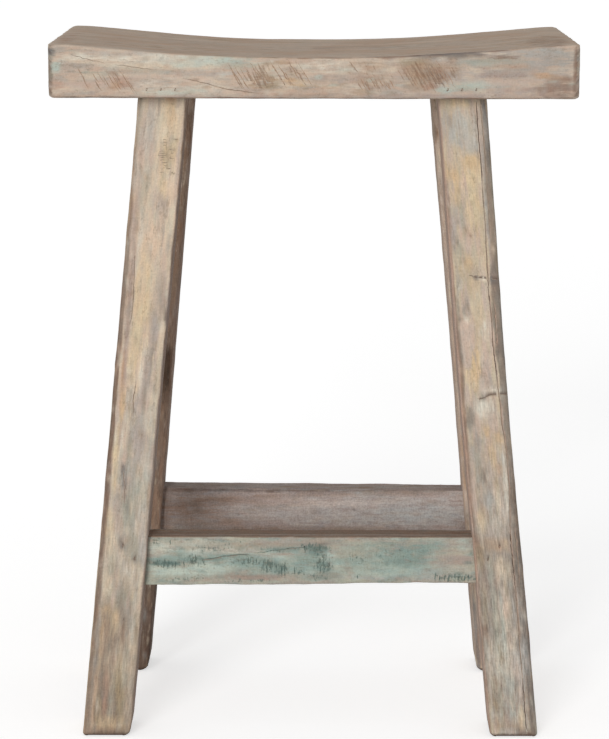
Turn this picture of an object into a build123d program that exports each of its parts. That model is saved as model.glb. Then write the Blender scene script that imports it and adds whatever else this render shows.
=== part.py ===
from build123d import *
import os

# Backless counter stool: a dished seat slab on four splayed legs, tied by four rails.
# Millimetres. The origin is on the floor under the middle of the seat, +Z is up,
# and someone who faces the stool's front looks along +Y with +X to their right.
# A leg is square in plan, so its inner faces stay parallel to the X and Y axes.

# seat slab
seat_width = 480.0
seat_depth = 240.0
seat_height = 660.0
seat_thickness = 48.0
seat_corner_radius = 6.0
seat_top_easing = 1.8
seat_bottom_easing = 2.6

# dish: a level rim at each end, a straight ramp from each rim, and a level floor between them,
# with lengths and radii as shares of the seat's width
dish_depth = 12.8
dish_rim_share = 0.031
dish_floor_share = 0.354
dish_rim_radius_share = 0.53
dish_ramp_radius_share = 3.1

# legs, measured over their outer faces at the seat's underside and on the floor
leg_side = 45.0
leg_span_top = 319.0
leg_span_floor = 434.0
leg_reach_top = 182.0
leg_reach_floor = 236.0
leg_arris_radius = 2.2
foot_chamfer = 3.0

# rails, all of one section
rail_height = 46.0
rail_thickness = 26.0
rail_arris_radius = 1.6
front_rail_top = 194.5
side_rail_top = 352.0

# blind mortise and tenon joints
leg_tenon_side = 34.0
leg_tenon_length_share = 0.62
rail_tenon_thickness = 12.0
rail_tenon_length_share = 0.67
rail_tenon_shoulder = 3.0
joint_gap = 0.2
mortise_end_gap = 1.0

# headless cut brads that lock the tenons, driven just below the surface
pin_width = 2.0
pin_height = 3.0
pin_gap = 0.1
pin_sink = 0.8
seat_pin_rise_share = 0.25
seat_pin_spread_shares = (-0.38, 0.0, 0.38)
rail_pin_reach_share = 0.75
rail_pin_place_shares = ((0.79, 0.16), (0.39, 0.43))

# values that follow
underside = seat_height - seat_thickness
leg_tenon_length = seat_thickness * leg_tenon_length_share
rail_tenon_length = leg_side * rail_tenon_length_share


def leg_centre(height):
    """Distance of a leg's centre line from the YZ and XZ planes at a height."""
    rise = height / underside
    span = leg_span_floor + (leg_span_top - leg_span_floor) * rise
    reach = leg_reach_floor + (leg_reach_top - leg_reach_floor) * rise
    return (span - leg_side) / 2, (reach - leg_side) / 2


def leg_direction():
    """Direction of the front right leg, from its foot to the seat."""
    foot_x, foot_y = leg_centre(0)
    top_x, top_y = leg_centre(underside)
    return Vector(top_x - foot_x, foot_y - top_y, underside)


def leg_bar(side, bottom, top):
    """Square bar on the front right leg's centre line between two heights."""
    x, y = leg_centre(bottom)
    direction = leg_direction()
    length = direction.length * (top - bottom) / underside
    outline = Pos(x, -y, bottom) * Rectangle(side, side)
    return extrude(outline, amount=length, dir=direction)


def front_half_length(height):
    """Half the clear width between the front legs at a height."""
    return leg_centre(height)[0] - leg_side / 2


def side_half_length(height):
    """Half the clear width between a front leg and the rear leg behind it."""
    return leg_centre(height)[1] - leg_side / 2


def rail_bar(plane, half_length, bottom, top, beyond, thickness):
    """Bar on a rail's middle plane, with ends that follow the legs' slope."""
    low = half_length(bottom) + beyond
    high = half_length(top) + beyond
    outline = Polygon((-low, bottom), (low, bottom), (high, top), (-high, top), align=None)
    return extrude(plane * outline, amount=thickness / 2, both=True)


def tenon_bar(plane, half_length, rail_top, gap, end_gap):
    """Bar that reaches from one tenon's end to the other's, with a gap all round."""
    bottom = rail_top - rail_height + rail_tenon_shoulder - gap
    top = rail_top - rail_tenon_shoulder + gap
    beyond = rail_tenon_length + end_gap
    return rail_bar(plane, half_length, bottom, top, beyond, rail_tenon_thickness + 2 * gap)


def rail_planes():
    """Middle planes of the front rail and the right rail."""
    front_y = leg_centre(front_rail_top - rail_height / 2)[1]
    side_x = leg_centre(side_rail_top - rail_height / 2)[0]
    front = Plane(origin=(0, -front_y, 0), x_dir=(1, 0, 0), z_dir=(0, -1, 0))
    side = Plane(origin=(side_x, 0, 0), x_dir=(0, 1, 0), z_dir=(1, 0, 0))
    return front, side


def pin(start, direction, length, gap=0.0):
    """Brad of rectangular section, or the slot it fills, that starts near the surface."""
    end = Plane(origin=start, x_dir=direction.cross(Vector(0, 0, 1)), z_dir=direction)
    return extrude(end * Rectangle(pin_width + 2 * gap, pin_height + 2 * gap), amount=length)


def seat_pin_set(gap=0.0, sink=pin_sink):
    """Pins in the seat's front edge that lock the front right leg's tenon."""
    height = underside + leg_tenon_length * seat_pin_rise_share
    x, y = leg_centre(height)
    start = -seat_depth / 2 + sink
    pins = []
    for share in seat_pin_spread_shares:
        place = Vector(x + leg_tenon_side * share, start, height)
        pins.append(pin(place, Vector(0, 1, 0), -y - start, gap))
    return pins


def front_rail_pin_set(gap=0.0, sink=pin_sink):
    """Pins in the front right leg's front face that lock the front rail's tenon."""
    pins = []
    for along_share, down_share in rail_pin_place_shares:
        height = front_rail_top - rail_height * down_share
        x = front_half_length(height) + rail_tenon_length * along_share
        face = -leg_centre(height)[1] - leg_side / 2
        place = Vector(x, face + sink, height)
        pins.append(pin(place, Vector(0, 1, 0), leg_side * rail_pin_reach_share - sink, gap))
    return pins


def right_rail_pin_set(gap=0.0, sink=pin_sink):
    """Pins in the front right leg's outer face that lock the right rail's tenon."""
    pins = []
    for along_share, down_share in rail_pin_place_shares:
        height = side_rail_top - rail_height * down_share
        y = side_half_length(height) + rail_tenon_length * along_share
        face = leg_centre(height)[0] + leg_side / 2
        place = Vector(face - sink, -y, height)
        pins.append(pin(place, Vector(-1, 0, 0), leg_side * rail_pin_reach_share - sink, gap))
    return pins


def slots(pin_set):
    """Slots for a set of pins, open at the surface."""
    return pin_set(gap=pin_gap, sink=0.0)


def on_both_sides(shapes):
    """The shapes and their mirror images left of the middle."""
    return shapes + [shape.mirror(Plane.YZ) for shape in shapes]


def at_both_ends(shapes):
    """The shapes and their mirror images behind the middle."""
    return shapes + [shape.mirror(Plane.XZ) for shape in shapes]


def make_seat():
    """Slab with a dished top, angled mortises below and pin slots in its long edges."""
    half = seat_width / 2
    knee = half - seat_width * dish_rim_share
    floor = half * dish_floor_share
    low = seat_height - dish_depth
    rim_radius = seat_width * dish_rim_radius_share
    ramp_radius = seat_width * dish_ramp_radius_share
    top = FilletPolyline(
        (-half, seat_height), (-knee, seat_height), (-floor, low),
        (floor, low), (knee, seat_height), (half, seat_height),
        radius=(rim_radius, ramp_radius, ramp_radius, rim_radius))
    rest = Polyline((half, seat_height), (half, underside), (-half, underside), (-half, seat_height))
    section = Plane.XZ * make_face([*top.edges(), *rest.edges()])
    slab = extrude(section, amount=seat_depth / 2, both=True)
    slab = fillet(slab.edges().filter_by(Axis.Z), seat_corner_radius)
    bottom = slab.faces().sort_by(Axis.Z)[0]
    slab = fillet(bottom.edges(), seat_bottom_easing)
    top_faces = slab.faces().filter_by(lambda face: face.normal_at().Z > 0.5)
    rim = [edge for edge in top_faces.edges() if sum(edge in face.edges() for face in top_faces) == 1]
    slab = fillet(rim, seat_top_easing)
    deep = underside + leg_tenon_length + mortise_end_gap
    mortise = leg_bar(leg_tenon_side + 2 * joint_gap, underside, deep)
    cuts = at_both_ends(on_both_sides([mortise, *slots(seat_pin_set)]))
    return slab - cuts


def make_leg():
    """Front right leg: a tenon on top and mortises for the front rail and the right rail."""
    body = leg_bar(leg_side, 0, underside)
    sole = body.faces().sort_by(Axis.Z)[0]
    body = chamfer(sole.edges(), foot_chamfer)
    upright_edges = body.edges().filter_by(lambda edge: abs(edge.tangent_at(0).Z) > 0.1)
    body = fillet(upright_edges, leg_arris_radius)
    tenon = leg_bar(leg_tenon_side, underside, underside + leg_tenon_length)
    front, side = rail_planes()
    cuts = [
        tenon_bar(front, front_half_length, front_rail_top, joint_gap, mortise_end_gap),
        tenon_bar(side, side_half_length, side_rail_top, joint_gap, mortise_end_gap),
        *slots(seat_pin_set),
        *slots(front_rail_pin_set),
        *slots(right_rail_pin_set),
    ]
    return body + tenon - cuts


def make_rail(plane, half_length, rail_top, pin_set, both_ends):
    """Rail with a tenon on each end and slots for the pins that lock them."""
    body = rail_bar(plane, half_length, rail_top - rail_height, rail_top, 0, rail_thickness)
    long_edges = body.edges().filter_by(lambda edge: edge.length > rail_thickness + rail_height)
    body = fillet(long_edges, rail_arris_radius)
    body += tenon_bar(plane, half_length, rail_top, 0, 0)
    return body - both_ends(slots(pin_set))


front_plane, side_plane = rail_planes()
leg = make_leg()
front_rail = make_rail(front_plane, front_half_length, front_rail_top, front_rail_pin_set, on_both_sides)
right_rail = make_rail(side_plane, side_half_length, side_rail_top, right_rail_pin_set, at_both_ends)
front_seat_pins = on_both_sides(seat_pin_set())
front_rail_pins = on_both_sides(front_rail_pin_set())

pieces = {
    "seat": make_seat(),
    "front_right_leg": leg,
    "front_left_leg": leg.mirror(Plane.YZ),
    "rear_right_leg": leg.mirror(Plane.XZ),
    "rear_left_leg": leg.mirror(Plane.YZ).mirror(Plane.XZ),
    "front_rail": front_rail,
    "rear_rail": front_rail.mirror(Plane.XZ),
    "right_rail": right_rail,
    "left_rail": right_rail.mirror(Plane.YZ),
    "front_seat_pins": Compound(children=front_seat_pins),
    "rear_seat_pins": Compound(children=[shape.mirror(Plane.XZ) for shape in front_seat_pins]),
    "front_rail_pins": Compound(children=front_rail_pins),
    "rear_rail_pins": Compound(children=[shape.mirror(Plane.XZ) for shape in front_rail_pins]),
    "side_rail_pins": Compound(children=at_both_ends(on_both_sides(right_rail_pin_set()))),
}

os.makedirs("parts", exist_ok=True)
for name, piece in pieces.items():
    export_step(piece, f"parts/{name}.step")
    print(name, round(piece.volume))
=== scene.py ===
import math
from types import SimpleNamespace

import bmesh
import bpy
import numpy as np
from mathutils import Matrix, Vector


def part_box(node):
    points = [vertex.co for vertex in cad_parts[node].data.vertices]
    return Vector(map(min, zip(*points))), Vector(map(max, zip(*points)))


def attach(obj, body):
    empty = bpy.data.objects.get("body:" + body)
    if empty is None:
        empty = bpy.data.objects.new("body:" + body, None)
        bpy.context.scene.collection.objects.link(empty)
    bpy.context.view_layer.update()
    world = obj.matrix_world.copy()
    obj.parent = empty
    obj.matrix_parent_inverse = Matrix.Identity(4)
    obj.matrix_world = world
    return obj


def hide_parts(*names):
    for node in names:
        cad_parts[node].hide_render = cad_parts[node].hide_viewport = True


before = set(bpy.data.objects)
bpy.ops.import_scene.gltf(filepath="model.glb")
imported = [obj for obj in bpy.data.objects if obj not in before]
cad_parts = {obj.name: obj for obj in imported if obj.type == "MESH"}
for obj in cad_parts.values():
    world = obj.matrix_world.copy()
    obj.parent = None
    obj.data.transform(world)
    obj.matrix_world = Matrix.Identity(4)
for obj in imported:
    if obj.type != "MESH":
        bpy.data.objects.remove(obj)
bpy.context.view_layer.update()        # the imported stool: bodies, nodes, record
mm = 0.001
print("frame loaded:", len(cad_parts), "nodes")

# Driving sizes of the stool, as in its construction
stoolSize = {
    "seatHeight": 660 * mm,
    "seatThickness": 48 * mm,
    "legSide": 45 * mm,
    "spanTop": 319 * mm,        # over the outer faces, left to right
    "spanFloor": 434 * mm,
    "reachTop": 182 * mm,       # over the outer faces, front to rear
    "reachFloor": 236 * mm,
    "intoJoint": 3 * mm,        # how far a board runs into its neighbour, out of sight
}
underside = stoolSize["seatHeight"] - stoolSize["seatThickness"]


# Small helpers

def nothingSelected():
    bpy.ops.object.select_all(action="DESELECT")


def onlyThis(piece):
    nothingSelected()
    piece.select_set(True)
    bpy.context.view_layer.objects.active = piece


def pickEdges(piece, wanted):
    bpy.ops.mesh.select_mode(type="EDGE")
    bpy.ops.mesh.select_all(action="DESELECT")
    shape = bmesh.from_edit_mesh(piece.data)
    for edge in shape.edges:
        if wanted(edge):
            edge.select_set(True)
    bmesh.update_edit_mesh(piece.data)


def pickFaces(piece, wanted):
    bpy.ops.mesh.select_mode(type="FACE")
    bpy.ops.mesh.select_all(action="DESELECT")
    shape = bmesh.from_edit_mesh(piece.data)
    for face in shape.faces:
        if wanted(face):
            face.select_set(True)
    bmesh.update_edit_mesh(piece.data)


def edgeRun(edge, axis):
    return abs(edge.verts[0].co[axis] - edge.verts[1].co[axis])


def applyAll(piece):
    onlyThis(piece)
    for modifier in list(piece.modifiers):
        bpy.ops.object.modifier_apply(modifier=modifier.name)


def vertexPlaces(piece):
    places = np.zeros(len(piece.data.vertices) * 3, np.float32)
    piece.data.vertices.foreach_get("co", places)
    return places.reshape(-1, 3)


def vertexNormals(piece):
    normals = np.zeros(len(piece.data.vertices) * 3, np.float32)
    piece.data.vertex_normals.foreach_get("vector", normals)
    return normals.reshape(-1, 3)


def setGroup(piece, name, weights, levels=40):
    group = piece.vertex_groups.get(name) or piece.vertex_groups.new(name=name)
    steps = np.rint(np.clip(weights, 0, 1) * levels).astype(int)
    for level in range(levels + 1):
        members = np.nonzero(steps == level)[0].tolist()
        group.add(members, level / levels, "REPLACE")


def setValue(piece, name, values):
    attribute = piece.data.attributes.new(name, "FLOAT", "POINT")
    attribute.data.foreach_set("value", values.astype(np.float32))


def smooth(values, low, high):
    t = np.clip((values - low) / (high - low), 0, 1)
    return t * t * (3 - 2 * t)


def tint(red, green, blue):
    # a colour picked on screen, 0 to 255, as the shader needs it
    levels = []
    for level in (red, green, blue):
        share = level / 255
        levels.append(share / 12.92 if share <= 0.04045 else ((share + 0.055) / 1.055) ** 2.4)
    return tuple(levels)


def newMaterial(name):
    material = bpy.data.materials.new(name)
    material.use_nodes = True
    return material, material.node_tree, material.node_tree.nodes["Principled BSDF"]


def addNode(tree, kind, inputs=None, **options):
    node = tree.nodes.new(kind)
    for option, value in options.items():
        setattr(node, option, value)
    for socket, value in (inputs or {}).items():
        if isinstance(value, bpy.types.NodeSocket):
            tree.links.new(value, node.inputs[socket])
        else:
            node.inputs[socket].default_value = value
    return node


def maths(tree, operation, first, second):
    return addNode(tree, "ShaderNodeMath", {0: first, 1: second}, operation=operation).outputs[0]


# Camera, floor and light

viewSettings = {
    "place": (8.3 * mm, -2313.0 * mm, 824.0 * mm),
    "downDegrees": 11.933,
    "turnDegrees": 0.38,
    "lens": 117.78,
}
lightSettings = {
    "worldStrength": 0.45,
    "keyStrength": 1.95,
    "keyFromLeft": 18.0,        # degrees from straight ahead
    "keyHeight": 14.0,          # degrees above the floor
    "keySoftness": 25.0,        # apparent size of the softbox in degrees
    "floorColour": 0.8,
    "floorLift": 0.53,          # what the floor lacks to white, seen by the camera only
}


def addCamera():
    tilt = math.radians(90 - viewSettings["downDegrees"])
    turn = math.radians(viewSettings["turnDegrees"])
    bpy.ops.object.camera_add(location=viewSettings["place"], rotation=(tilt, 0, turn))
    camera = bpy.context.object
    camera.name = "viewCamera"
    camera.data.lens = viewSettings["lens"]
    camera.data.sensor_width = 36
    bpy.context.scene.camera = camera


def addLights():
    aside = math.radians(lightSettings["keyFromLeft"])
    above = math.radians(lightSettings["keyHeight"])
    travel = Vector((math.sin(aside) * math.cos(above), math.cos(aside) * math.cos(above), -math.sin(above)))
    turned = travel.to_track_quat("-Z", "Y").to_euler()
    bpy.ops.object.light_add(type="SUN", location=(-1.5, -2, 1.5), rotation=turned)
    key = bpy.context.object
    key.name = "keySoftbox"
    key.data.energy = lightSettings["keyStrength"]
    key.data.angle = math.radians(lightSettings["keySoftness"])
    world = bpy.context.scene.world or bpy.data.worlds.new("studio")
    bpy.context.scene.world = world
    world.use_nodes = True
    tree = world.node_tree
    tree.nodes.clear()
    strength = addNode(tree, "ShaderNodeMapRange", {
        "Value": cameraOrMirror(tree),
        "To Min": lightSettings["worldStrength"],
        "To Max": 1.0,
    }).outputs["Result"]
    sky = addNode(tree, "ShaderNodeBackground", {"Color": (1, 1, 1, 1), "Strength": strength})
    addNode(tree, "ShaderNodeOutputWorld", {"Surface": sky.outputs["Background"]})


def cameraOrMirror(tree):
    # 1 for rays from the camera and for those that a mirror or glass passes on
    rays = addNode(tree, "ShaderNodeLightPath").outputs
    seen = maths(tree, "MAXIMUM", rays["Is Camera Ray"], rays["Is Glossy Ray"])
    return maths(tree, "MAXIMUM", seen, rays["Is Transmission Ray"])


def addFloor():
    nothingSelected()
    bpy.ops.mesh.primitive_plane_add(size=80, location=(0, 0, 0))
    floor = bpy.context.object
    floor.name = "studioFloor"
    material, tree, shader = newMaterial("studioWhite")
    grey = lightSettings["floorColour"]
    shader.inputs["Base Color"].default_value = (grey, grey, grey, 1)
    shader.inputs["Roughness"].default_value = 0.9
    shader.inputs["Specular IOR Level"].default_value = 0
    shader.inputs["Emission Color"].default_value = (1, 1, 1, 1)
    lift = maths(tree, "MULTIPLY", cameraOrMirror(tree), lightSettings["floorLift"])
    tree.links.new(lift, shader.inputs["Emission Strength"])
    floor.data.materials.append(material)


addCamera()
addLights()
addFloor()
bpy.context.scene.view_settings.view_transform = "Standard"
print("camera, light and floor made")


# Boards: a cube at size and place, its arrises eased, then a fine grid for the wear

def legLine(height):
    # how far a leg's centre line is from the middle, sideways and to the front
    rise = height / underside
    span = stoolSize["spanFloor"] + (stoolSize["spanTop"] - stoolSize["spanFloor"]) * rise
    reach = stoolSize["reachFloor"] + (stoolSize["reachTop"] - stoolSize["reachFloor"]) * rise
    return (span - stoolSize["legSide"]) / 2, (reach - stoolSize["legSide"]) / 2


legSides = {
    "front_left_leg": (-1, -1),
    "front_right_leg": (1, -1),
    "rear_left_leg": (-1, 1),
    "rear_right_leg": (1, 1),
}


def straightPlaces(nodeName, places):
    # places with a leg's lean taken out
    if nodeName not in legSides:
        return places
    side, end = legSides[nodeName]
    lineX, lineY = legLine(places[:, 2])
    return np.stack([places[:, 0] - side * lineX, places[:, 1] - end * lineY, places[:, 2]], axis=1)


def addBar(name, centre, size, along, arris, step, lean=(0, 0), sole=0):
    nothingSelected()
    bpy.ops.mesh.primitive_cube_add(size=1, location=centre, scale=size)
    bar = bpy.context.object
    bar.name = name
    bpy.ops.object.transform_apply(location=True, rotation=True, scale=True)
    bpy.ops.object.mode_set(mode="EDIT")
    if any(lean):
        pickFaces(bar, lambda face: face.normal.z > 0.9)
        bpy.ops.transform.translate(value=(lean[0], lean[1], 0))
    length = size[along]
    pickEdges(bar, lambda edge: edgeRun(edge, along) > 0.9 * length)
    bpy.ops.mesh.bevel(offset=arris, segments=3, affect="EDGES")
    if sole:
        pickEdges(bar, lambda edge: max(vert.co.z for vert in edge.verts) < centre[2] - 0.499 * length)
        bpy.ops.mesh.bevel(offset=sole, segments=4, affect="EDGES")
    pickEdges(bar, lambda edge: edgeRun(edge, along) > 0.8 * length)
    bpy.ops.mesh.subdivide(number_cuts=round(length / step))
    for axis in {0, 1, 2} - {along}:
        width = size[axis]
        pickEdges(bar, lambda edge: edgeRun(edge, axis) > 0.7 * width and edgeRun(edge, along) < step / 2)
        bpy.ops.mesh.subdivide(number_cuts=round(width / step), ngon=True)
    bpy.ops.object.mode_set(mode="OBJECT")
    return bar


def addGuide(direction, across, along):
    # an empty that stretches a texture along the grain
    bpy.ops.object.empty_add(location=(0, 0, 0), rotation=direction.to_track_quat("Z", "X").to_euler())
    guide = bpy.context.object
    guide.scale = (across, across, along)
    return guide


def pressIn(piece, texture, guide, strength, group="", middle=0.0):
    modifier = piece.modifiers.new("pressIn", "DISPLACE")
    modifier.texture = texture
    modifier.texture_coords = "OBJECT"
    modifier.texture_coords_object = guide
    modifier.strength = strength
    modifier.mid_level = middle
    modifier.vertex_group = group
    onlyThis(piece)
    bpy.context.view_layer.update()
    bpy.ops.object.modifier_apply(modifier=modifier.name)


def makeTexture(name, contrast=1.0, brightness=1.0, depth=2):
    texture = bpy.data.textures.new(name, "CLOUDS")
    texture.noise_scale = 1.0
    texture.noise_depth = depth
    texture.contrast = contrast
    texture.intensity = brightness
    return texture


def shadeBoard(piece):
    onlyThis(piece)
    bpy.ops.object.shade_smooth_by_angle(angle=math.radians(40))


wearSettings = {
    "hewnDepth": 0.5 * mm,
    "grainDepth": 0.35 * mm,
    "chipDepth": 1.0 * mm,
    "chipReach": 4.0 * mm,
    # how far each pattern is drawn out, across and along the grain
    "hewnStretch": (25 * mm, 120 * mm),
    "grainStretch": (2.4 * mm, 30 * mm),
    "chipStretch": (7 * mm, 30 * mm),
    "floorFade": (1 * mm, 8 * mm),      # the soles stay flat
}
hewnTexture = makeTexture("hewnWaves")
grainTexture = makeTexture("raisedGrain", contrast=1.6)
chipTexture = makeTexture("chippedArris", contrast=3.0, brightness=0.62, depth=3)


def wearBoard(piece, direction, arrisDistance, chips=1.0):
    guides = [addGuide(direction, *wearSettings[name + "Stretch"]) for name in ("hewn", "grain", "chip")]
    aboveFloor = smooth(vertexPlaces(piece)[:, 2], *wearSettings["floorFade"])
    setGroup(piece, "worn", aboveFloor)
    setGroup(piece, "arris", (1 - smooth(arrisDistance, 0, wearSettings["chipReach"])) * aboveFloor)
    pressIn(piece, hewnTexture, guides[0], wearSettings["hewnDepth"], group="worn", middle=0.6)
    pressIn(piece, grainTexture, guides[1], wearSettings["grainDepth"], group="worn", middle=0.8)
    pressIn(piece, chipTexture, guides[2], -wearSettings["chipDepth"] * chips, group="arris")
    for guide in guides:
        bpy.data.objects.remove(guide)


def nudgeBoard(piece, axis, distances):
    # moves the points along X or Z by their own small distances, as in a warped board
    low = distances.min()
    reach = distances.max() - low
    setGroup(piece, "nudge", (distances - low) / reach, levels=200)
    for strength, group in ((reach, "nudge"), (low, "")):
        shift = piece.modifiers.new("shift", "DISPLACE")
        shift.direction = axis
        shift.strength = strength
        shift.mid_level = 0
        shift.vertex_group = group
    applyAll(piece)


def barArris(places, widths):
    # distance to the nearest long arris, from places measured across and through
    fromSides = np.stack([widths[0] / 2 - abs(places[:, 0]), widths[1] / 2 - abs(places[:, 1])], axis=1)
    return fromSides.max(axis=1)


# Legs

legSettings = {
    "arris": 2.2 * mm,
    "sole": 5.0 * mm,
    "step": 1.6 * mm,
    # how far each leg bends to the right at these heights, in mm
    "heights": (0, 130, 240, 340, 430, 610),
    "bends": {
        "front_left_leg": (-2.3, -1.0, -1.0, -0.7, -0.3, 0.6),
        "front_right_leg": (-0.1, -0.5, -1.6, -1.8, -1.0, 1.2),
        "rear_left_leg": (2.0, 2.2, 2.0, 1.7, 1.6, 1.0),
        "rear_right_leg": (-1.0, -0.8, 0.2, 0.6, 0.2, 0.0),
    },
    "bendBlend": range(-45, 46, 15),    # heights over which a bend is evened out, in mm
    "footSwell": 0.6 * mm,
    "swellReach": (60 * mm, 300 * mm),
    "swellWidth": 20 * mm,
    # how far the inner corner of each foot is worn away, in mm
    "footRounding": {
        "front_left_leg": 3.5,
        "front_right_leg": 2.0,
        "rear_left_leg": 7.5,
        "rear_right_leg": 6.5,
    },
    "roundingHeight": (-4 * mm, 11 * mm),
    "roundingWidth": 22 * mm,
}


def legShift(name, side, places):
    # how far each point lies to the right of the straight, even leg
    heights = legSettings["heights"]
    blend = legSettings["bendBlend"]
    shift = np.zeros(len(places))
    for offset in blend:
        bend = np.interp(places[:, 2] / mm + offset, heights, legSettings["bends"][name])
        shift += bend * mm / len(blend)
    nearFloor = 1 - smooth(places[:, 2], *legSettings["roundingHeight"])
    worn = side * legSettings["footRounding"][name] * mm
    shift += worn * nearFloor ** 2 * smooth(-side * places[:, 0], 0, legSettings["roundingWidth"])
    swell = legSettings["footSwell"] * (1 - smooth(places[:, 2], *legSettings["swellReach"]))
    return shift + swell * np.clip(places[:, 0] / legSettings["swellWidth"], -1, 1)


def makeLeg(name, side, end):
    footX, footY = legLine(0)
    top = underside + stoolSize["intoJoint"]
    topX, topY = legLine(top)
    lean = (side * (topX - footX), end * (topY - footY))
    size = (stoolSize["legSide"], stoolSize["legSide"], top)
    centre = (side * footX, end * footY, top / 2)
    leg = addBar(name, centre, size, 2, legSettings["arris"], legSettings["step"], lean, legSettings["sole"])
    direction = Vector((lean[0], lean[1], top)).normalized()
    places = straightPlaces(name, vertexPlaces(leg))
    wearBoard(leg, direction, barArris(places, size[:2]))
    nudgeBoard(leg, "X", legShift(name, side, places))
    leg.name = name + "_timber"
    return leg


boards = {}
for nodeName, (side, end) in legSides.items():
    boards[nodeName] = makeLeg(nodeName, side, end)
print("legs made")


# Rails

railSettings = {
    "height": 46 * mm,
    "thickness": 26 * mm,
    "arris": 1.6 * mm,
    "step": 2.0 * mm,
    "lowTop": 194.5 * mm,
    "highTop": 352 * mm,
    "frontSag": 2.2 * mm,       # how far the front rail's lower edge drops at its left end
    "rearTilt": 1.4 * mm,       # how far the rear rail rises at its left end and drops at its right
}


def warpRail(rail, nodeName, shares):
    # shares of the rail's length and height, from -0.5 to 0.5
    leftward = 0.5 - shares[:, 0]
    if nodeName == "front_rail":
        lowness = 0.5 - shares[:, 2]
        nudgeBoard(rail, "Z", -railSettings["frontSag"] * smooth(leftward, 0.1, 0.7) * lowness)
    if nodeName == "rear_rail":
        nudgeBoard(rail, "Z", railSettings["rearTilt"] * (2 * leftward - 1))


def makeRail(nodeName, along, side):
    # along is the rail's axis, X or Y, and side tells on which side of the middle it is
    top = railSettings["lowTop"] if along == 0 else railSettings["highTop"]
    height = railSettings["height"]
    middle = top - height / 2
    through = 1 - along
    size = np.array([railSettings["thickness"]] * 2 + [height])
    size[along] = 2 * (legLine(top - height)[along] - stoolSize["legSide"] / 2 + stoolSize["intoJoint"])
    centre = np.array([0, 0, middle])
    centre[through] = side * legLine(middle)[through]
    arris = railSettings["arris"]
    step = railSettings["step"]
    rail = addBar(nodeName + "_timber", centre.tolist(), size.tolist(), along, arris, step)
    places = vertexPlaces(rail) - centre
    grain = Vector((1, 0, 0)) if along == 0 else Vector((0, 1, 0))
    wearBoard(rail, grain, barArris(places[:, [2, through]], size[[2, through]]), chips=0.8)
    warpRail(rail, nodeName, places / size)
    return rail


railSides = {
    "front_rail": (0, -1),
    "rear_rail": (0, 1),
    "left_rail": (1, -1),
    "right_rail": (1, 1),
}
for nodeName, (along, side) in railSides.items():
    boards[nodeName] = makeRail(nodeName, along, side)
print("rails made")


# Seat

seatSettings = {
    "width": 480 * mm,
    "depth": 240 * mm,
    "cornerRadius": 6 * mm,
    "topEasing": 1.8 * mm,
    "bottomEasing": 2.6 * mm,
    "voxel": 1.9 * mm,
    "dishDepth": 12.8 * mm,
    "rimLength": 14.88 * mm,
    "floorLength": 169.92 * mm,
    "rimRadius": 254.4 * mm,
    "rampRadius": 1488 * mm,
    "lowerEdge": (0.7 * mm, 1.5 * mm),      # how far it hangs down at the left and further right
    "endShifts": (1.2 * mm, 3.1 * mm),      # how far the ends lie to the right on the legs
    "topRise": 1.2 * mm,
    # where the top's height and the lower edge change, as shares of the width and the depth
    "leftSlope": (-0.4, -0.1),
    "rightSlope": (0.2, 0.42),
    "rearSlope": (-0.3, 0.4),
    "hangSlope": (-0.4, 0.0),
    "frontLeftRise": 0.4,       # as a share of the highest rise
    "rearMiddleRise": 0.3,
}


def dishDepth(x):
    # a level rim, a ramp that is rounded at both ends, and a level floor in the middle
    run = abs(x)
    knee = seatSettings["width"] / 2 - seatSettings["rimLength"]
    heel = seatSettings["floorLength"] / 2
    slope = math.atan(seatSettings["dishDepth"] / (knee - heel))
    foot = seatSettings["rampRadius"]
    rim = seatSettings["rimRadius"]
    footStart = heel - foot * math.tan(slope / 2)
    rimEnd = knee + rim * math.tan(slope / 2)
    ramp = (knee - run) * math.tan(slope)
    rise = np.clip(run - footStart, 0, foot * math.sin(slope))
    hollow = seatSettings["dishDepth"] - foot + np.sqrt(foot ** 2 - rise ** 2)
    left = np.clip(rimEnd - run, 0, rim * math.sin(slope))
    shoulder = rim - np.sqrt(rim ** 2 - left ** 2)
    depth = np.where(run < footStart + foot * math.sin(slope), hollow, ramp)
    return np.where(run > rimEnd - rim * math.sin(slope), shoulder, depth)


def seatBlock(width, depth, thickness, middle):
    # a slab with rounded corners and eased edges, in an even grid
    nothingSelected()
    bpy.ops.mesh.primitive_cube_add(size=1, location=(0, 0, middle), scale=(width, depth, thickness))
    seat = bpy.context.object
    seat.name = "seat_timber"
    bpy.ops.object.transform_apply(location=True, rotation=True, scale=True)
    bpy.ops.object.mode_set(mode="EDIT")
    pickEdges(seat, lambda edge: edgeRun(edge, 2) > 0.9 * thickness)
    bpy.ops.mesh.bevel(offset=seatSettings["cornerRadius"], segments=5, affect="EDGES")
    pickEdges(seat, lambda edge: min(vert.co.z for vert in edge.verts) > middle + 0.49 * thickness)
    bpy.ops.mesh.bevel(offset=seatSettings["topEasing"], segments=3, affect="EDGES")
    pickEdges(seat, lambda edge: max(vert.co.z for vert in edge.verts) < middle - 0.49 * thickness)
    bpy.ops.mesh.bevel(offset=seatSettings["bottomEasing"], segments=3, affect="EDGES")
    bpy.ops.object.mode_set(mode="OBJECT")
    remesh = seat.modifiers.new("evenGrid", "REMESH")
    remesh.mode = "VOXEL"
    remesh.voxel_size = seatSettings["voxel"]
    applyAll(seat)
    return seat


def pressDish(seat, places, share):
    depths = dishDepth(places[:, 0]) / seatSettings["dishDepth"] * share
    setGroup(seat, "dish", depths, levels=400)
    dish = seat.modifiers.new("dish", "DISPLACE")
    dish.direction = "Z"
    dish.strength = -seatSettings["dishDepth"]
    dish.mid_level = 0
    dish.vertex_group = "dish"
    applyAll(seat)


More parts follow.
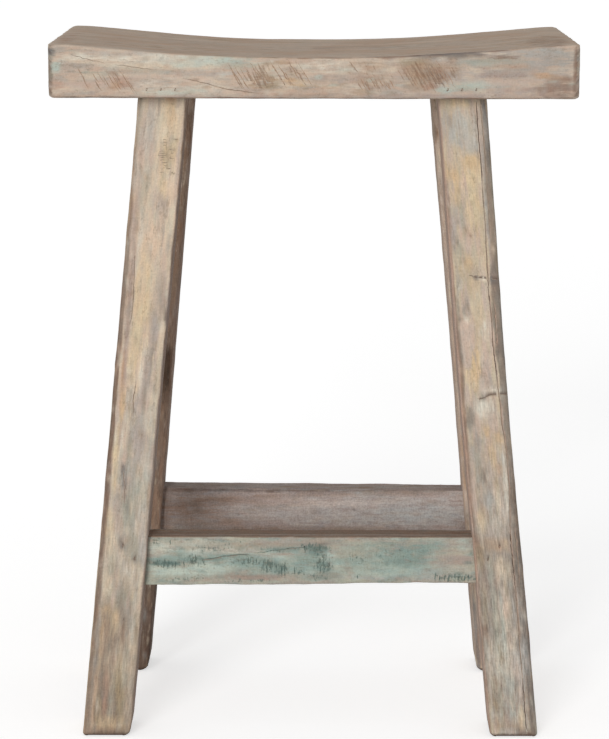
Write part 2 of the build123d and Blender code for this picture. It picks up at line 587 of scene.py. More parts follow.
def seatLift(places, share):
    # how much higher than in an even slab each point lies: the top rises at the rear left and in
    # the middle of the front, and the lower edge hangs a little
    width = seatSettings["width"]
    depth = seatSettings["depth"]

    def slope(axis, size, name):
        low, high = seatSettings[name]
        return smooth(places[:, axis], low * size, high * size)

    left, right = seatSettings["lowerEdge"]
    hang = left + (right - left) * slope(0, width, "hangSlope")
    toRear = slope(1, depth, "rearSlope")
    toMiddle = slope(0, width, "leftSlope")
    lowest = seatSettings["frontLeftRise"]
    front = toMiddle * (1 - lowest) + lowest
    rear = 1 - toMiddle * (1 - seatSettings["rearMiddleRise"])
    fade = 1 - slope(0, width, "rightSlope")
    rise = seatSettings["topRise"] * fade * (front + (rear - front) * toRear)
    return rise * share - hang * (1 - share)


def makeSeat():
    width = seatSettings["width"]
    depth = seatSettings["depth"]
    thickness = stoolSize["seatThickness"]
    middle = underside + thickness / 2
    seat = seatBlock(width, depth, thickness, middle)
    places = vertexPlaces(seat)
    share = (places[:, 2] - underside) / thickness
    pressDish(seat, places, share)
    fromSides = np.stack([
        width / 2 - abs(places[:, 0]),
        depth / 2 - abs(places[:, 1]),
        thickness / 2 - abs(places[:, 2] - middle),
    ], axis=1)
    fromSides.sort(axis=1)
    wearBoard(seat, Vector((1, 0, 0)), fromSides[:, 1], chips=0.5)
    nudgeBoard(seat, "Z", seatLift(places, share))
    nudgeBoard(seat, "X", np.interp(places[:, 0], (-width / 2, width / 2), seatSettings["endShifts"]))
    return seat


boards["seat"] = makeSeat()
print("seat made")


# Where things are on a board's faces

faceNormals = {
    "front": (0, -1, 0),
    "rear": (0, 1, 0),
    "left": (-1, 0, 0),
    "right": (1, 0, 0),
    "top": (0, 0, 1),
    "bottom": (0, 0, -1),
}
longAxis = {"leg": 2, "highRail": 1, "lowRail": 0, "seat": 0}


def boardKind(nodeName):
    if nodeName in legSides:
        return "leg"
    if nodeName in ("left_rail", "right_rail"):
        return "highRail"
    if nodeName in ("front_rail", "rear_rail"):
        return "lowRail"
    return "seat"


def faceAxes(nodeName, face):
    # the axis through the face, the one along it and the one across it
    through = [axis for axis in range(3) if faceNormals[face][axis]][0]
    rest = [axis for axis in range(3) if axis != through]
    along = longAxis[boardKind(nodeName)]
    if along not in rest:
        along = rest[0]
    across = rest[0] if rest[1] == along else rest[1]
    return through, along, across


def grainPlaces(nodeName, places):
    # across, through and along the grain, in that order
    straight = straightPlaces(nodeName, places)
    along = longAxis[boardKind(nodeName)]
    rest = [axis for axis in range(3) if axis != along]
    return straight[:, [rest[0], rest[1], along]]


def onFace(board, nodeName, face, along, across):
    # the point of the board's worn surface under a place on one of its faces, in mm
    through, first, second = faceAxes(nodeName, face)
    start = Vector((0, 0, 0))
    start[first] = along * mm
    start[second] = across * mm
    if nodeName in legSides:
        side, end = legSides[nodeName]
        lineX, lineY = legLine(start[2])
        start[0] += side * lineX
        start[1] += end * lineY
    outward = Vector(faceNormals[face])
    start[through] = outward[through]
    hit, point, normal, index = board.ray_cast(start, -outward)
    return point if hit else None


# Finishes

def total(tree, *parts):
    # adds up (value, gain) pairs, each taken about its middle of 0.5, and plain values
    result = 0.0
    for part in parts:
        if isinstance(part, tuple):
            part = maths(tree, "MULTIPLY", maths(tree, "SUBTRACT", part[0], 0.5), part[1])
        result = maths(tree, "ADD", result, part)
    return result


def between(tree, value, low, high, lowest=0.0, highest=1.0):
    inputs = {"Value": value, "From Min": low, "From Max": high, "To Min": lowest, "To Max": highest}
    return addNode(tree, "ShaderNodeMapRange", inputs, interpolation_type="SMOOTHSTEP").outputs["Result"]


def blendColour(tree, share, below, above, how="MIX"):
    node = addNode(tree, "ShaderNodeMix", data_type="RGBA", blend_type=how)
    for index, value in ((0, share), (6, below), (7, above)):
        if isinstance(value, bpy.types.NodeSocket):
            tree.links.new(value, node.inputs[index])
        else:
            node.inputs[index].default_value = value if index == 0 else (*value, 1)
    return node.outputs[2]


def greyLevel(tree, value):
    return addNode(tree, "ShaderNodeCombineColor", {0: value, 1: value, 2: value}).outputs[0]


def grainNoise(tree, place, across, along, seed, detail=3.0, rough=0.5, bend=0.0):
    # across and along are the numbers of grains in a metre
    stretched = addNode(tree, "ShaderNodeMapping", {
        "Vector": place,
        "Location": (seed * 3.1, seed * 1.7, seed * 2.3),
        "Scale": (across, across, along),
    })
    return addNode(tree, "ShaderNodeTexNoise", {
        "Vector": stretched.outputs[0],
        "Scale": 1.0,
        "Detail": detail,
        "Roughness": rough,
        "Distortion": bend,
    }).outputs["Fac"]


def slantedNoise(tree, place, slant, across, along, seed):
    # thin strokes that lean by the slant, in radians, on the front face
    inputs = {"Vector": place, "Angle": slant}
    turned = addNode(tree, "ShaderNodeVectorRotate", inputs, rotation_type="X_AXIS")
    return grainNoise(tree, turned.outputs[0], across, along, seed, detail=2)


def attributeValue(tree, name):
    return addNode(tree, "ShaderNodeAttribute", attribute_name=name).outputs["Fac"]


def joinShader(tree, shader, colour, roughness, shine, bumps):
    # bumps are the relief, its height and its strength
    relief, distance, strength = bumps
    bump = addNode(tree, "ShaderNodeBump", {"Height": relief, "Distance": distance, "Strength": strength})
    tree.links.new(colour, shader.inputs["Base Color"])
    tree.links.new(roughness, shader.inputs["Roughness"])
    tree.links.new(bump.outputs["Normal"], shader.inputs["Normal"])
    shader.inputs["Specular IOR Level"].default_value = shine


def boardGrain(tree, place, look):
    # noises drawn out along the grain, with the number of grains in a metre across and along
    seed = look["seed"]
    length = look["grainLength"]
    return SimpleNamespace(
        fibre=grainNoise(tree, place, 720, 75 / length, seed, rough=0.6),
        streak=grainNoise(tree, place, 290, 28 / length, seed + 1, rough=0.55, bend=0.3),
        band=grainNoise(tree, place, 105, 12 / length, seed + 2, detail=2),
        hue=grainNoise(tree, place, 150, 22 / length, seed + 3),
        blotch=grainNoise(tree, place, 115, 48 / length, seed + 4, detail=4, rough=0.6, bend=0.4),
        fleck=grainNoise(tree, place, 520, 210 / length, seed + 5, detail=2, rough=0.6),
        tick=grainNoise(tree, place, 190, 800, seed + 6, detail=2),
        speck=grainNoise(tree, place, 700, 560, seed + 7, detail=1),
        hair=grainNoise(tree, place, 620, 16, seed + 8, rough=0.6),
        drift=grainNoise(tree, place, 70, 8, seed + 9, bend=0.3),
        dab=grainNoise(tree, place, 170, 520, seed + 10, rough=0.7),
        saw=slantedNoise(tree, place, look["sawSlant"], 70, 480, seed + 11),
        cast=grainNoise(tree, place, 170, 60 / length, seed + 12, rough=0.6),
        cloud=grainNoise(tree, place, 22, 12, seed + 13, detail=2),
    )


def washedTimber(tree, look, grain):
    # brown timber of three tones
    wood = between(tree, total(tree, 0.5, (grain.fibre, 1.0), (grain.streak, 1.0)), 0.36, 0.64)
    wood = blendColour(tree, wood, look["woodDark"], look["woodLight"])
    wood = blendColour(tree, between(tree, grain.hue, 0.4, 0.62, 0.0, 0.7), wood, look["woodWarm"])
    # limewash of two tones and a weathered grey, worn off along the grain
    wash = between(tree, total(tree, 0.5, (grain.band, 1.2), (grain.streak, 0.7)), 0.38, 0.62)
    wash = blendColour(tree, wash, look["washPink"], look["wash"])
    greyed = between(tree, total(tree, 0.5, (grain.hue, 1.2), (grain.fibre, 0.4)), 0.52, 0.7, 0.0, 0.7)
    wash = blendColour(tree, greyed, wash, look["washGrey"])
    bared = attributeValue(tree, "bare")
    gone = total(tree, look["bareness"], bared, (grain.blotch, 1.0), (grain.streak, 1.0), (grain.fibre, 0.9))
    return blendColour(tree, between(tree, gone, 0.4, 0.75), wash, wood)


def planedTop(tree, look, grain, planed, colour):
    tone = total(tree, 0.5, (grain.hair, 0.5), (grain.drift, 0.9), (grain.fleck, 0.3))
    tone = blendColour(tree, between(tree, tone, 0.2, 0.8), look["planedDark"], look["planed"])
    warmth = total(tree, 0.5, (grain.streak, 0.4), (grain.cloud, 1.4), (grain.fibre, 0.3))
    tone = blendColour(tree, between(tree, warmth, 0.4, 0.7, 0.0, 0.6), tone, look["planedWarm"])
    return blendColour(tree, planed, colour, tone)


def handGlazes(tree, grain, colour):
    # the given strokes, drawn out along the grain
    paint = addNode(tree, "ShaderNodeAttribute", attribute_name="paintTone")
    cover = paint.outputs["Alpha"]
    ragged = total(tree, cover, (grain.streak, 1.3), (grain.blotch, 0.8), (grain.fibre, 0.8))
    share = between(tree, ragged, 0.1, 0.85, 0.0, 0.95)
    share = maths(tree, "MULTIPLY", share, between(tree, cover, 0.0, 0.3))
    return blendColour(tree, share, colour, paint.outputs["Color"])


def raggedShare(tree, markName, noises, low, high, most, firm):
    # how strongly a brushed mark shows, torn by the noises, and in full once it is firm
    mark = attributeValue(tree, markName)
    torn = between(tree, total(tree, mark, *noises), low, high, 0.0, most)
    return maths(tree, "MULTIPLY", torn, between(tree, mark, 0.05, firm))


def endRings(tree, place, look, grain, colour):
    # growth rings about the heart of the tree
    fromHeart = addNode(tree, "ShaderNodeMapping", {
        "Vector": place, "Location": look["heart"], "Scale": (1.0, 1.0, 0.0),
    })
    radius = addNode(tree, "ShaderNodeVectorMath", {0: fromHeart.outputs[0]}, operation="LENGTH")
    rings = maths(tree, "MULTIPLY", radius.outputs["Value"], look["ringsPerMetre"])
    wavy = maths(tree, "ADD", rings, maths(tree, "MULTIPLY", grain.blotch, 1.2))
    inputs = {"W": wavy, "Scale": 1.0, "Detail": 2.0}
    ring = addNode(tree, "ShaderNodeTexNoise", inputs, noise_dimensions="1D").outputs["Fac"]
    onEnd = attributeValue(tree, "endGrain")
    share = maths(tree, "MULTIPLY", between(tree, ring, 0.42, 0.66, 0.0, 0.4), onEnd)
    return blendColour(tree, share, colour, look["ring"])


def unevenTone(tree, place, look, grain, unplaned, colour):
    # streaks and fibres that are stronger near the floor, and a cast that varies a little
    fromFloor = addNode(tree, "ShaderNodeSeparateXYZ", {0: place}).outputs["Z"]
    weathered = between(tree, fromFloor, 0.12, 0.4, look["footWear"], 1.0)
    streaks = (grain.streak, maths(tree, "MULTIPLY", weathered, look["streaks"]))
    fibres = (grain.fibre, maths(tree, "MULTIPLY", weathered, look["fibres"]))
    coarse = total(tree, 0.0, streaks, (grain.blotch, 0.25), (grain.tick, look["ticks"]), (grain.fleck, 0.2))
    fine = total(tree, 1.0, fibres, (grain.speck, look["specks"]))
    level = maths(tree, "MULTIPLY_ADD", coarse, unplaned)
    tree.links.new(fine, level.node.inputs[2])
    colour = blendColour(tree, 1.0, colour, greyLevel(tree, level), "MULTIPLY")
    cast = blendColour(tree, between(tree, grain.cast, 0.3, 0.7), look["castCool"], look["castWarm"])
    return blendColour(tree, 1.0, colour, cast, "MULTIPLY")


def wornTimber(name, look):
    material, tree, shader = newMaterial(name)
    place = addNode(tree, "ShaderNodeAttribute", attribute_name="boardPlace").outputs["Vector"]
    grain = boardGrain(tree, place, look)
    planed = attributeValue(tree, "planed")
    unplaned = maths(tree, "SUBTRACT", 1.0, planed)
    colour = washedTimber(tree, look, grain)
    colour = planedTop(tree, look, grain, planed, colour)
    colour = handGlazes(tree, grain, colour)
    dabbed = raggedShare(tree, "dabs", ((grain.dab, 2.8), (grain.fleck, 1.2)), 0.45, 1.15, 0.8, 0.35)
    colour = blendColour(tree, dabbed, colour, look["dab"])
    sawn = raggedShare(tree, "sawn", ((grain.saw, 2.4), (grain.fibre, 0.8)), 0.65, 1.2, 0.6, 0.3)
    colour = blendColour(tree, sawn, colour, look["sawn"])
    pores = total(tree, grain.fleck, (grain.hue, 0.6), (grain.blotch, 0.4))
    pores = between(tree, pores, 0.58, 0.76, 0.0, look["pores"])
    colour = blendColour(tree, maths(tree, "MULTIPLY", pores, unplaned), colour, look["pore"])
    colour = endRings(tree, place, look, grain, colour)
    colour = unevenTone(tree, place, look, grain, unplaned, colour)
    roughness = between(tree, grain.blotch, 0.2, 0.8, look["roughness"] - 0.08, look["roughness"] + 0.08)
    relief = total(tree, 0.0, (grain.fibre, 1.0), (grain.streak, 0.7), (grain.speck, 0.3))
    relief = maths(tree, "SUBTRACT", relief, maths(tree, "MULTIPLY", sawn, 0.5))
    joinShader(tree, shader, colour, roughness, look["shine"], (relief, 0.4 * mm, 0.4))
    return material


def plainGrain(name, dark, light, warm, roughness, grains=(900, 200), metallic=0.0):
    # the inside of a split or saw mark, and the rust on the brads
    material, tree, shader = newMaterial(name)
    across, along = grains
    place = addNode(tree, "ShaderNodeTexCoord").outputs["Object"]
    fine = grainNoise(tree, place, across, along, 3.0, rough=0.6)
    wide = grainNoise(tree, place, across / 4, along / 4, 7.0, detail=2)
    colour = blendColour(tree, between(tree, fine, 0.35, 0.65), tint(*dark), tint(*light))
    colour = blendColour(tree, between(tree, wide, 0.45, 0.65, 0.0, 0.7), colour, tint(*warm))
    shader.inputs["Metallic"].default_value = metallic
    roughness = between(tree, fine, 0.3, 0.7, roughness - 0.1, roughness)
    joinShader(tree, shader, colour, roughness, 0.1, (fine, 0.2 * mm, 0.5))
    return material


paleWash = {
    "woodDark": tint(120, 99, 85),
    "woodLight": tint(164, 141, 123),
    "woodWarm": tint(160, 128, 106),
    "wash": tint(208, 193, 171),
    "washPink": tint(196, 176, 161),
    "washGrey": tint(172, 161, 149),
    "bareness": 0.02,
    "dab": tint(84, 101, 95),
    "sawn": tint(124, 98, 78),
    "pore": tint(112, 96, 80),
    "pores": 0.32,
    "ring": tint(96, 78, 66),
    "ringsPerMetre": 420.0,
    "heart": (0.02, 0.03, 0.0),
    "planed": tint(198, 181, 165),
    "planedDark": tint(178, 160, 144),
    "planedWarm": tint(182, 155, 134),
    "castCool": (0.955, 0.99, 1.0),
    "castWarm": (1.035, 0.985, 0.945),
    "sawSlant": 0.0,
    "grainLength": 1.0,
    "footWear": 1.0,
    "fibres": 0.34,
    "streaks": 0.22,
    "specks": 0.32,
    "ticks": 0.15,
    "roughness": 0.8,
    "shine": 0.08,
    "seed": 1.0,
}
bareBoard = {
    **paleWash,
    "woodDark": tint(108, 89, 80),
    "woodLight": tint(158, 137, 125),
    "woodWarm": tint(138, 113, 100),
    "wash": tint(174, 160, 152),
    "washPink": tint(162, 144, 135),
    "washGrey": tint(154, 145, 142),
    "bareness": 0.3,
    "grainLength": 2.0,
    "ticks": 0.0,
}
looks = {
    "seat": {
        **paleWash,
        "wash": tint(199, 184, 166),
        "washPink": tint(188, 168, 152),
        "washGrey": tint(170, 160, 150),
        "seed": 2.0,
        "sawSlant": math.radians(27),
        "heart": (0.03, -0.57, 0.0),
        "grainLength": 0.7,
        "fibres": 0.13,
        "streaks": 0.1,
        "specks": 0.2,
        "ticks": 0.2,
    },
    "front_left_leg": {**paleWash, "fibres": 0.4, "footWear": 2.9, "seed": 5.0},
    "front_right_leg": {**paleWash, "wash": tint(195, 179, 155), "fibres": 0.5, "footWear": 3.2, "seed": 9.0},
    "rear_left_leg": {**paleWash, "footWear": 2.5, "seed": 13.0},
    "rear_right_leg": {**paleWash, "footWear": 2.5, "seed": 17.0},
    "front_rail": {
        **paleWash,
        "wash": tint(166, 166, 152),
        "washPink": tint(160, 152, 142),
        "washGrey": tint(140, 150, 142),
        "woodDark": tint(118, 110, 98),
        "woodLight": tint(156, 144, 128),
        "seed": 21.0,
        "grainLength": 0.6,
        "fibres": 0.16,
        "streaks": 0.14,
        "ticks": 0.3,
    },
    "rear_rail": {
        **bareBoard,
        "seed": 25.0,
        "bareness": 0.1,
        "fibres": 0.6,
        "specks": 0.6,
        "ticks": 0.4,
        "grainLength": 0.8,
        "castCool": (0.98, 1.05, 1.11),
        "castWarm": (1.02, 1.03, 1.04),
    },
    "left_rail": {**bareBoard, "seed": 29.0},
    "right_rail": {**bareBoard, "seed": 33.0},
}

grooveFinish = {
    # The split's dark inside is partly the crack's own darker wood and partly painted shade deep in the
    # crack.
    "split": plainGrain("splitWood", (72, 60, 53), (108, 92, 80), (90, 73, 62), 0.95),
    "crease": plainGrain("creasedWood", (132, 117, 104), (162, 146, 130), (146, 126, 108), 0.95),
    "saw": plainGrain("sawMark", (150, 126, 106), (176, 152, 131), (162, 130, 107), 0.9),
    "slit": plainGrain("slitPaint", (82, 98, 92), (116, 130, 122), (100, 108, 98), 0.9),
    "slot": plainGrain("slotWood", (104, 88, 76), (132, 114, 98), (120, 98, 82), 0.9),
}
bradRust = plainGrain(
    "bradRust", (118, 98, 84), (152, 130, 112), (156, 118, 92), 0.75, grains=(1600, 1600), metallic=0.25,
)


# Splits, gashes and saw marks: thin tubes laid along the surface and cut out of the board

grooveSettings = {
    "stepShort": 3.0,
    "stepLong": 5.0,
    "swayShort": 0.25,
    "swayLong": 0.15,
    "taper": 7.0,
    "tightestEnd": 0.08,        # a groove's width at its ends, as a share of the full width
    "unevenness": (0.8, 1.1),
}


def layTube(cutter, board, nodeName, face, width, depth, points, dice):
    # width and depth at the surface in mm, and points as (along, across) in mm
    ends = np.array(points, float)
    runs = np.hypot(*np.diff(ends, axis=0).T)
    stations = np.concatenate([[0], np.cumsum(runs)])
    length = stations[-1]
    size = "Short" if length < 60 else "Long"
    sway = grooveSettings["sway" + size]
    count = max(4, int(length / grooveSettings["step" + size]) + 1)
    marks = np.linspace(0, length, count)
    along = np.interp(marks, stations, ends[:, 0]) + dice.normal(0, sway, count)
    across = np.interp(marks, stations, ends[:, 1]) + dice.normal(0, sway, count)
    reach = min(grooveSettings["taper"], length / 3)
    share = np.clip(np.minimum(marks, length - marks) / reach, grooveSettings["tightestEnd"], 1)
    share = share * dice.uniform(*grooveSettings["unevenness"], count)
    radius = (width ** 2 / 4 + depth ** 2) / (2 * depth)
    outward = Vector(faceNormals[face])
    found = []
    for index in range(count):
        point = onFace(board, nodeName, face, along[index], across[index])
        if point is not None:
            sink = (depth - radius) * share[index] * mm
            found.append((*(point - outward * sink), radius * share[index]))
    if len(found) < 3:
        return
    line = cutter.data.splines.new("POLY")
    line.points.add(len(found) - 1)
    for index, (x, y, z, size) in enumerate(found):
        line.points[index].co = (x, y, z, 1)
        line.points[index].radius = size


def cutGrooves(board, nodeName, kind, grooves):
    dice = np.random.default_rng(len(grooves) + 11 * len(nodeName))
    nothingSelected()
    bpy.ops.curve.primitive_nurbs_path_add(location=(0, 0, 0))
    cutter = bpy.context.object
    cutter.data.splines.clear()
    for face, width, depth, points in grooves:
        layTube(cutter, board, nodeName, face, width, depth, points, dice)
    cutter.data.bevel_depth = 1 * mm
    cutter.data.bevel_resolution = 1
    cutter.data.use_fill_caps = True
    cutter.data.materials.append(grooveFinish[kind])
    onlyThis(cutter)
    bpy.ops.object.convert(target="MESH")
    cutOut(board, bpy.context.object)


def sharpenRims(board):
    onlyThis(board)
    bpy.ops.object.mode_set(mode="EDIT")
    pickFaces(board, lambda face: face.material_index > 0)
    bpy.ops.mesh.region_to_loop()
    bpy.ops.mesh.mark_sharp()
    bpy.ops.object.mode_set(mode="OBJECT")


def cutOut(board, cutter):
    onlyThis(cutter)
    bpy.ops.object.mode_set(mode="EDIT")
    bpy.ops.mesh.select_all(action="SELECT")
    bpy.ops.mesh.remove_doubles(threshold=0.001 * mm)
    bpy.ops.mesh.normals_make_consistent(inside=False)
    bpy.ops.object.mode_set(mode="OBJECT")
    cut = board.modifiers.new("cut", "BOOLEAN")
    cut.operation = "DIFFERENCE"
    cut.solver = "MANIFOLD"
    cut.material_mode = "TRANSFER"
    cut.object = cutter
    applyAll(board)
    bpy.data.objects.remove(cutter)


slotSettings = {
    "fatter": 0.1 * mm,
    "beyondEnds": 0.25 * mm,
    "mouthInset": 0.3 * mm,
    "mouthLength": 3 * mm,
}


def cutSlots(board, pinNode, axis):
    # a fatter copy of the brads, with a narrower mouth that reaches the surface
    onlyThis(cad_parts[pinNode])
    bpy.ops.object.duplicate()
    cutter = bpy.context.object
    cutter.data.materials.clear()
    cutter.data.materials.append(grooveFinish["slot"])
    bpy.ops.object.mode_set(mode="EDIT")
    bpy.ops.mesh.select_all(action="SELECT")
    bpy.ops.mesh.remove_doubles(threshold=0.001 * mm)
    for side in (-1, 1):
        pickFaces(cutter, lambda face: (
            face.normal[axis] * side > 0.9 and face.calc_center_median()[axis] * side > 0
        ))
        shift = [0, 0, 0]
        shift[axis] = slotSettings["beyondEnds"] * side
        bpy.ops.transform.translate(value=shift)
        bpy.ops.mesh.inset(thickness=slotSettings["mouthInset"], use_individual=True)
        shift[axis] = slotSettings["mouthLength"] * side
        bpy.ops.mesh.extrude_region_move(TRANSFORM_OT_translate={"value": shift})
    bpy.ops.mesh.select_all(action="SELECT")
    bpy.ops.transform.shrink_fatten(value=slotSettings["fatter"])
    bpy.ops.object.mode_set(mode="OBJECT")
    cutOut(board, cutter)


def scratches(face, width, depth, *lines):
    # straight lines as (from along, from across, to along, to across)
    return [(face, width, depth, ((a, b), (c, d))) for a, b, c, d in lines]


sawSettings = {
    "lean": 0.62,               # sideways for each step down
    "shorter": (0, 0.35),       # how much of the height is missing at each end
    "aside": (-0.3, 0.3),       # as a share of the spacing
    "width": (0.7, 1.3),
    "depth": (0.15, 0.3),
}


def sawRow(face, first, last, low, high, spacing, seed):
    # a row of saw strokes side by side that lean over between two heights
    dice = np.random.default_rng(seed)
    row = []
    for place in np.arange(first, last, spacing):
        top = high - dice.uniform(*sawSettings["shorter"]) * (high - low)
        bottom = low + dice.uniform(*sawSettings["shorter"]) * (high - low)
        begin = place + dice.uniform(*sawSettings["aside"]) * spacing
        ends = ((begin, top), (begin + sawSettings["lean"] * (top - bottom), bottom))
        row.append((face, dice.uniform(*sawSettings["width"]), dice.uniform(*sawSettings["depth"]), ends))
    return row


splits = {
    "front_right_leg": [
        ("front", 0.9, 0.6, ((606, 13.5), (585, 13), (560, 13), (545, 13.5), (530, 13))),
        ("front", 0.7, 0.5, ((447, 11), (430, 10.5), (415, 11))),
        ("front", 1.0, 0.6, ((392, 11), (378, 10.5), (366, 11), (352, 12))),
        ("front", 1.0, 0.7, ((207, 12.5), (185, 12.2), (165, 12.5), (148, 12.5))),
        ("front", 0.8, 0.5, ((58, 12.5), (30, 12.8), (4, 12.5))),
    ],
}
creases = {
    "front_left_leg": [
        *scratches(
            "front", 0.8, 0.16,
            (571, 3, 571, 8), (571.5, 13, 570.5, 19), (568, 2, 568.5, 10), (565.5, 4, 565.5, 8),
            (562, 8, 561, 18), (560, 1, 560.5, 6), (558, 1, 558, 8), (558, 12, 558.5, 16),
            (556, 1, 556.5, 9), (554, 2, 554, 8), (554, 11, 553.5, 17), (552, 2, 552, 8),
            (550, 3, 549.5, 12), (547, 6, 547, 10), (544, 9, 544, 15), (541, 3, 541, 8),
            (540, 14, 539.5, 18),
        ),
        ("front", 0.7, 0.3, ((462, -13), (440, -11.5), (415, -10.5), (400, -11.5))),
        ("front", 0.7, 0.3, ((264, -8), (250, -5), (240, -3.5), (228, -3))),
        ("front", 0.8, 0.4, ((345, -2), (330, -3), (312, -2))),
        ("front", 0.8, 0.4, ((116, 5), (108, 5.5), (98, 5))),
        ("left", 0.9, 0.6, ((520, 4), (450, 5), (380, 3), (330, 4))),
        ("left", 0.8, 0.6, ((210, -8), (160, -7), (90, -9))),
        ("rear", 0.9, 0.6, ((560, 6), (480, 8), (420, 7))),
    ],
    "front_right_leg": [
        ("front", 0.9, 0.4, (
            (530, 13), (500, 12.5), (459, 11.5), (430, 10.5), (400, 11), (370, 10.5), (345, 12), (306, 13),
            (280, 15), (250, 15), (220, 13.5), (200, 12.5), (153, 12.5), (120, 13), (90, 12.5), (60, 12.5),
        )),
        ("front", 1.0, 0.4, ((606, 17), (570, 17.5), (520, 17), (480, 16))),
        ("front", 0.9, 0.5, ((425, 14.5), (405, 15), (380, 14))),
        ("front", 1.0, 0.5, ((205, 17), (180, 17.5), (150, 17))),
        ("front", 0.9, 0.3, ((445, -6), (444, -1), (442.8, 4), (442, 9))),
        ("front", 0.8, 0.25, ((442.5, 13), (442, 16), (441.5, 20))),
        ("front", 0.8, 0.28, ((328.5, -6), (329.5, -2), (332, 3), (333.5, 10))),
        ("front", 0.6, 0.2, ((333.5, 13), (333, 16), (333.5, 20))),
        ("right", 0.9, 0.6, ((580, -5), (500, -6), (430, -4), (370, -6))),
        ("right", 0.9, 0.6, ((240, 8), (170, 9), (110, 7))),
    ],
    "rear_left_leg": [
        ("rear", 1.0, 0.7, ((560, -6), (470, -4), (390, -6), (300, -5))),
        ("left", 0.9, 0.6, ((300, 6), (220, 8), (140, 6))),
        ("front", 0.8, 0.5, ((280, 10), (200, 12), (120, 11))),
    ],
    "rear_right_leg": [
        ("rear", 1.0, 0.7, ((420, 7), (330, 6), (230, 8), (150, 7))),
        ("right", 0.9, 0.6, ((590, 3), (520, 5), (440, 4))),
    ],
    "seat": [
        ("front", 0.6, 0.2, ((-218, 651), (-200, 646), (-188, 643.5))),
        ("front", 0.6, 0.2, ((-178, 642), (-160, 639.5), (-140, 637))),
        ("front", 0.7, 0.3, ((-116, 629.5), (-95, 625), (-85, 622))),
        ("front", 0.8, 0.4, ((-87, 622.5), (-78, 620), (-60, 617.5), (-48, 616))),
        ("front", 0.7, 0.25, ((160, 648), (172, 647.5), (188, 647.5))),
        ("rear", 1.0, 0.7, ((-200, 634), (-140, 637), (-80, 635), (-20, 638))),
        ("rear", 0.9, 0.6, ((60, 622), (120, 620), (190, 623))),
        ("left", 0.8, 0.6, ((-70, 634), (-30, 637), (10, 635))),
        ("right", 0.8, 0.6, ((20, 628), (60, 631), (95, 629))),
        ("top", 0.6, 0.3, ((-190, 60), (-120, 64), (-60, 62))),
        ("top", 0.6, 0.3, ((70, -20), (140, -17), (215, -19))),
    ],
    "front_rail": [
        ("rear", 0.9, 0.6, ((-100, 170), (-30, 174), (50, 171))),
    ],
    "rear_rail": [
        ("rear", 1.0, 0.6, ((-130, 178), (-60, 180), (20, 176), (90, 178))),
    ],
    "left_rail": [("left", 0.9, 0.6, ((-60, 330), (-10, 333), (50, 331)))],
    "right_rail": [("right", 0.9, 0.6, ((-50, 322), (0, 320), (55, 323)))],
}
saws = {
    "seat": [
        *scratches(
            "front", 0.8, 0.25,
            (-212, 641, -202, 620), (-196, 628, -190, 618), (34, 645, 42, 636),
        ),
        *sawRow("front", -198, -168, 615, 640, 4.2, 1),
        *sawRow("front", -76, -44, 616, 646, 3.4, 2),
        *sawRow("front", -39, -10, 618, 647, 4.4, 3),
        *sawRow("front", 40, 74, 614, 634, 3.8, 4),
        *sawRow("front", 77, 122, 616, 648, 3.5, 5),
        *sawRow("rear", -160, -90, 616, 646, 5.0, 6),
        *sawRow("rear", 20, 60, 618, 644, 5.0, 7),
        *sawRow("rear", 150, 200, 616, 650, 4.5, 8),
    ],
}
slits = {
    "front_rail": [
        ("front", 0.8, 0.3, ((-104, 171.5), (-92, 173), (-85, 175), (-72, 176), (-60, 177))),
        ("front", 0.7, 0.2, ((-55, 178), (-40, 180), (-20, 183), (-6, 184))),
        *scratches(
            "front", 1.1, 0.4,
            (-42, 169, -42, 157), (-38, 171, -38, 160), (-33, 168, -33, 162), (-28, 166, -28, 155),
            (-25, 171, -25, 156), (-110, 177, -110, 168), (-134, 191, -134, 186), (-113, 172, -113, 168),
            (-121, 171, -121, 164), (-146, 172, -146, 165), (-139, 173, -139, 167), (-129, 170, -129, 163),
            (-60, 174, -60, 168), (-52, 173, -52, 167), (-16, 165, -16, 158), (-6, 186, -6, 178),
            (4, 186, 4, 178), (12, 174, 12, 160), (17, 170, 17, 164), (9, 166, 9, 159),
            (118, 160, 118, 150), (122, 157, 122, 150), (127, 158, 127, 150), (131, 155, 131, 150),
            (140, 157, 140, 150), (146, 156, 146, 150), (150, 158, 150, 151), (44, 157, 44, 153),
        ),
    ],
}
slotCuts = {
    "seat": (("front_seat_pins", 1), ("rear_seat_pins", 1)),
    "front_left_leg": (("front_rail_pins", 1), ("side_rail_pins", 0)),
    "front_right_leg": (("front_rail_pins", 1), ("side_rail_pins", 0)),
    "rear_left_leg": (("rear_rail_pins", 1), ("side_rail_pins", 0)),
    "rear_right_leg": (("rear_rail_pins", 1), ("side_rail_pins", 0)),
}


# Paint left on the boards: strokes laid over each other as glazes

tints = {
    "cream": tint(205, 189, 167),
    "pale": tint(210, 201, 186),
    "yellow": tint(208, 188, 156),
    "ochre": tint(203, 176, 141),
    "orange": tint(188, 152, 121),
    "peach": tint(207, 183, 161),
    "pink": tint(190, 168, 154),
    "reddish": tint(166, 132, 114),
    "mauve": tint(160, 139, 129),
    "lilac": tint(170, 158, 150),
    "grey": tint(158, 149, 140),
    "coolGrey": tint(168, 165, 160),
    # this tint serves stains, and painted shade on the front right leg's right strip and at the seat's front
    # arris
    "stain": tint(134, 123, 112),
    "slate": tint(104, 103, 103),
    "ash": tint(118, 108, 100),
    "moss": tint(158, 155, 141),
    "olive": tint(148, 132, 106),
    "umber": tint(150, 132, 114),
    "mint": tint(176, 186, 175),
    "teal": tint(132, 149, 142),
    "deepTeal": tint(100, 118, 112),
    "beige": tint(172, 163, 148),
    "tan": tint(168, 144, 122),
    "brown": tint(132, 108, 93),
    "dark": tint(84, 68, 60),
}


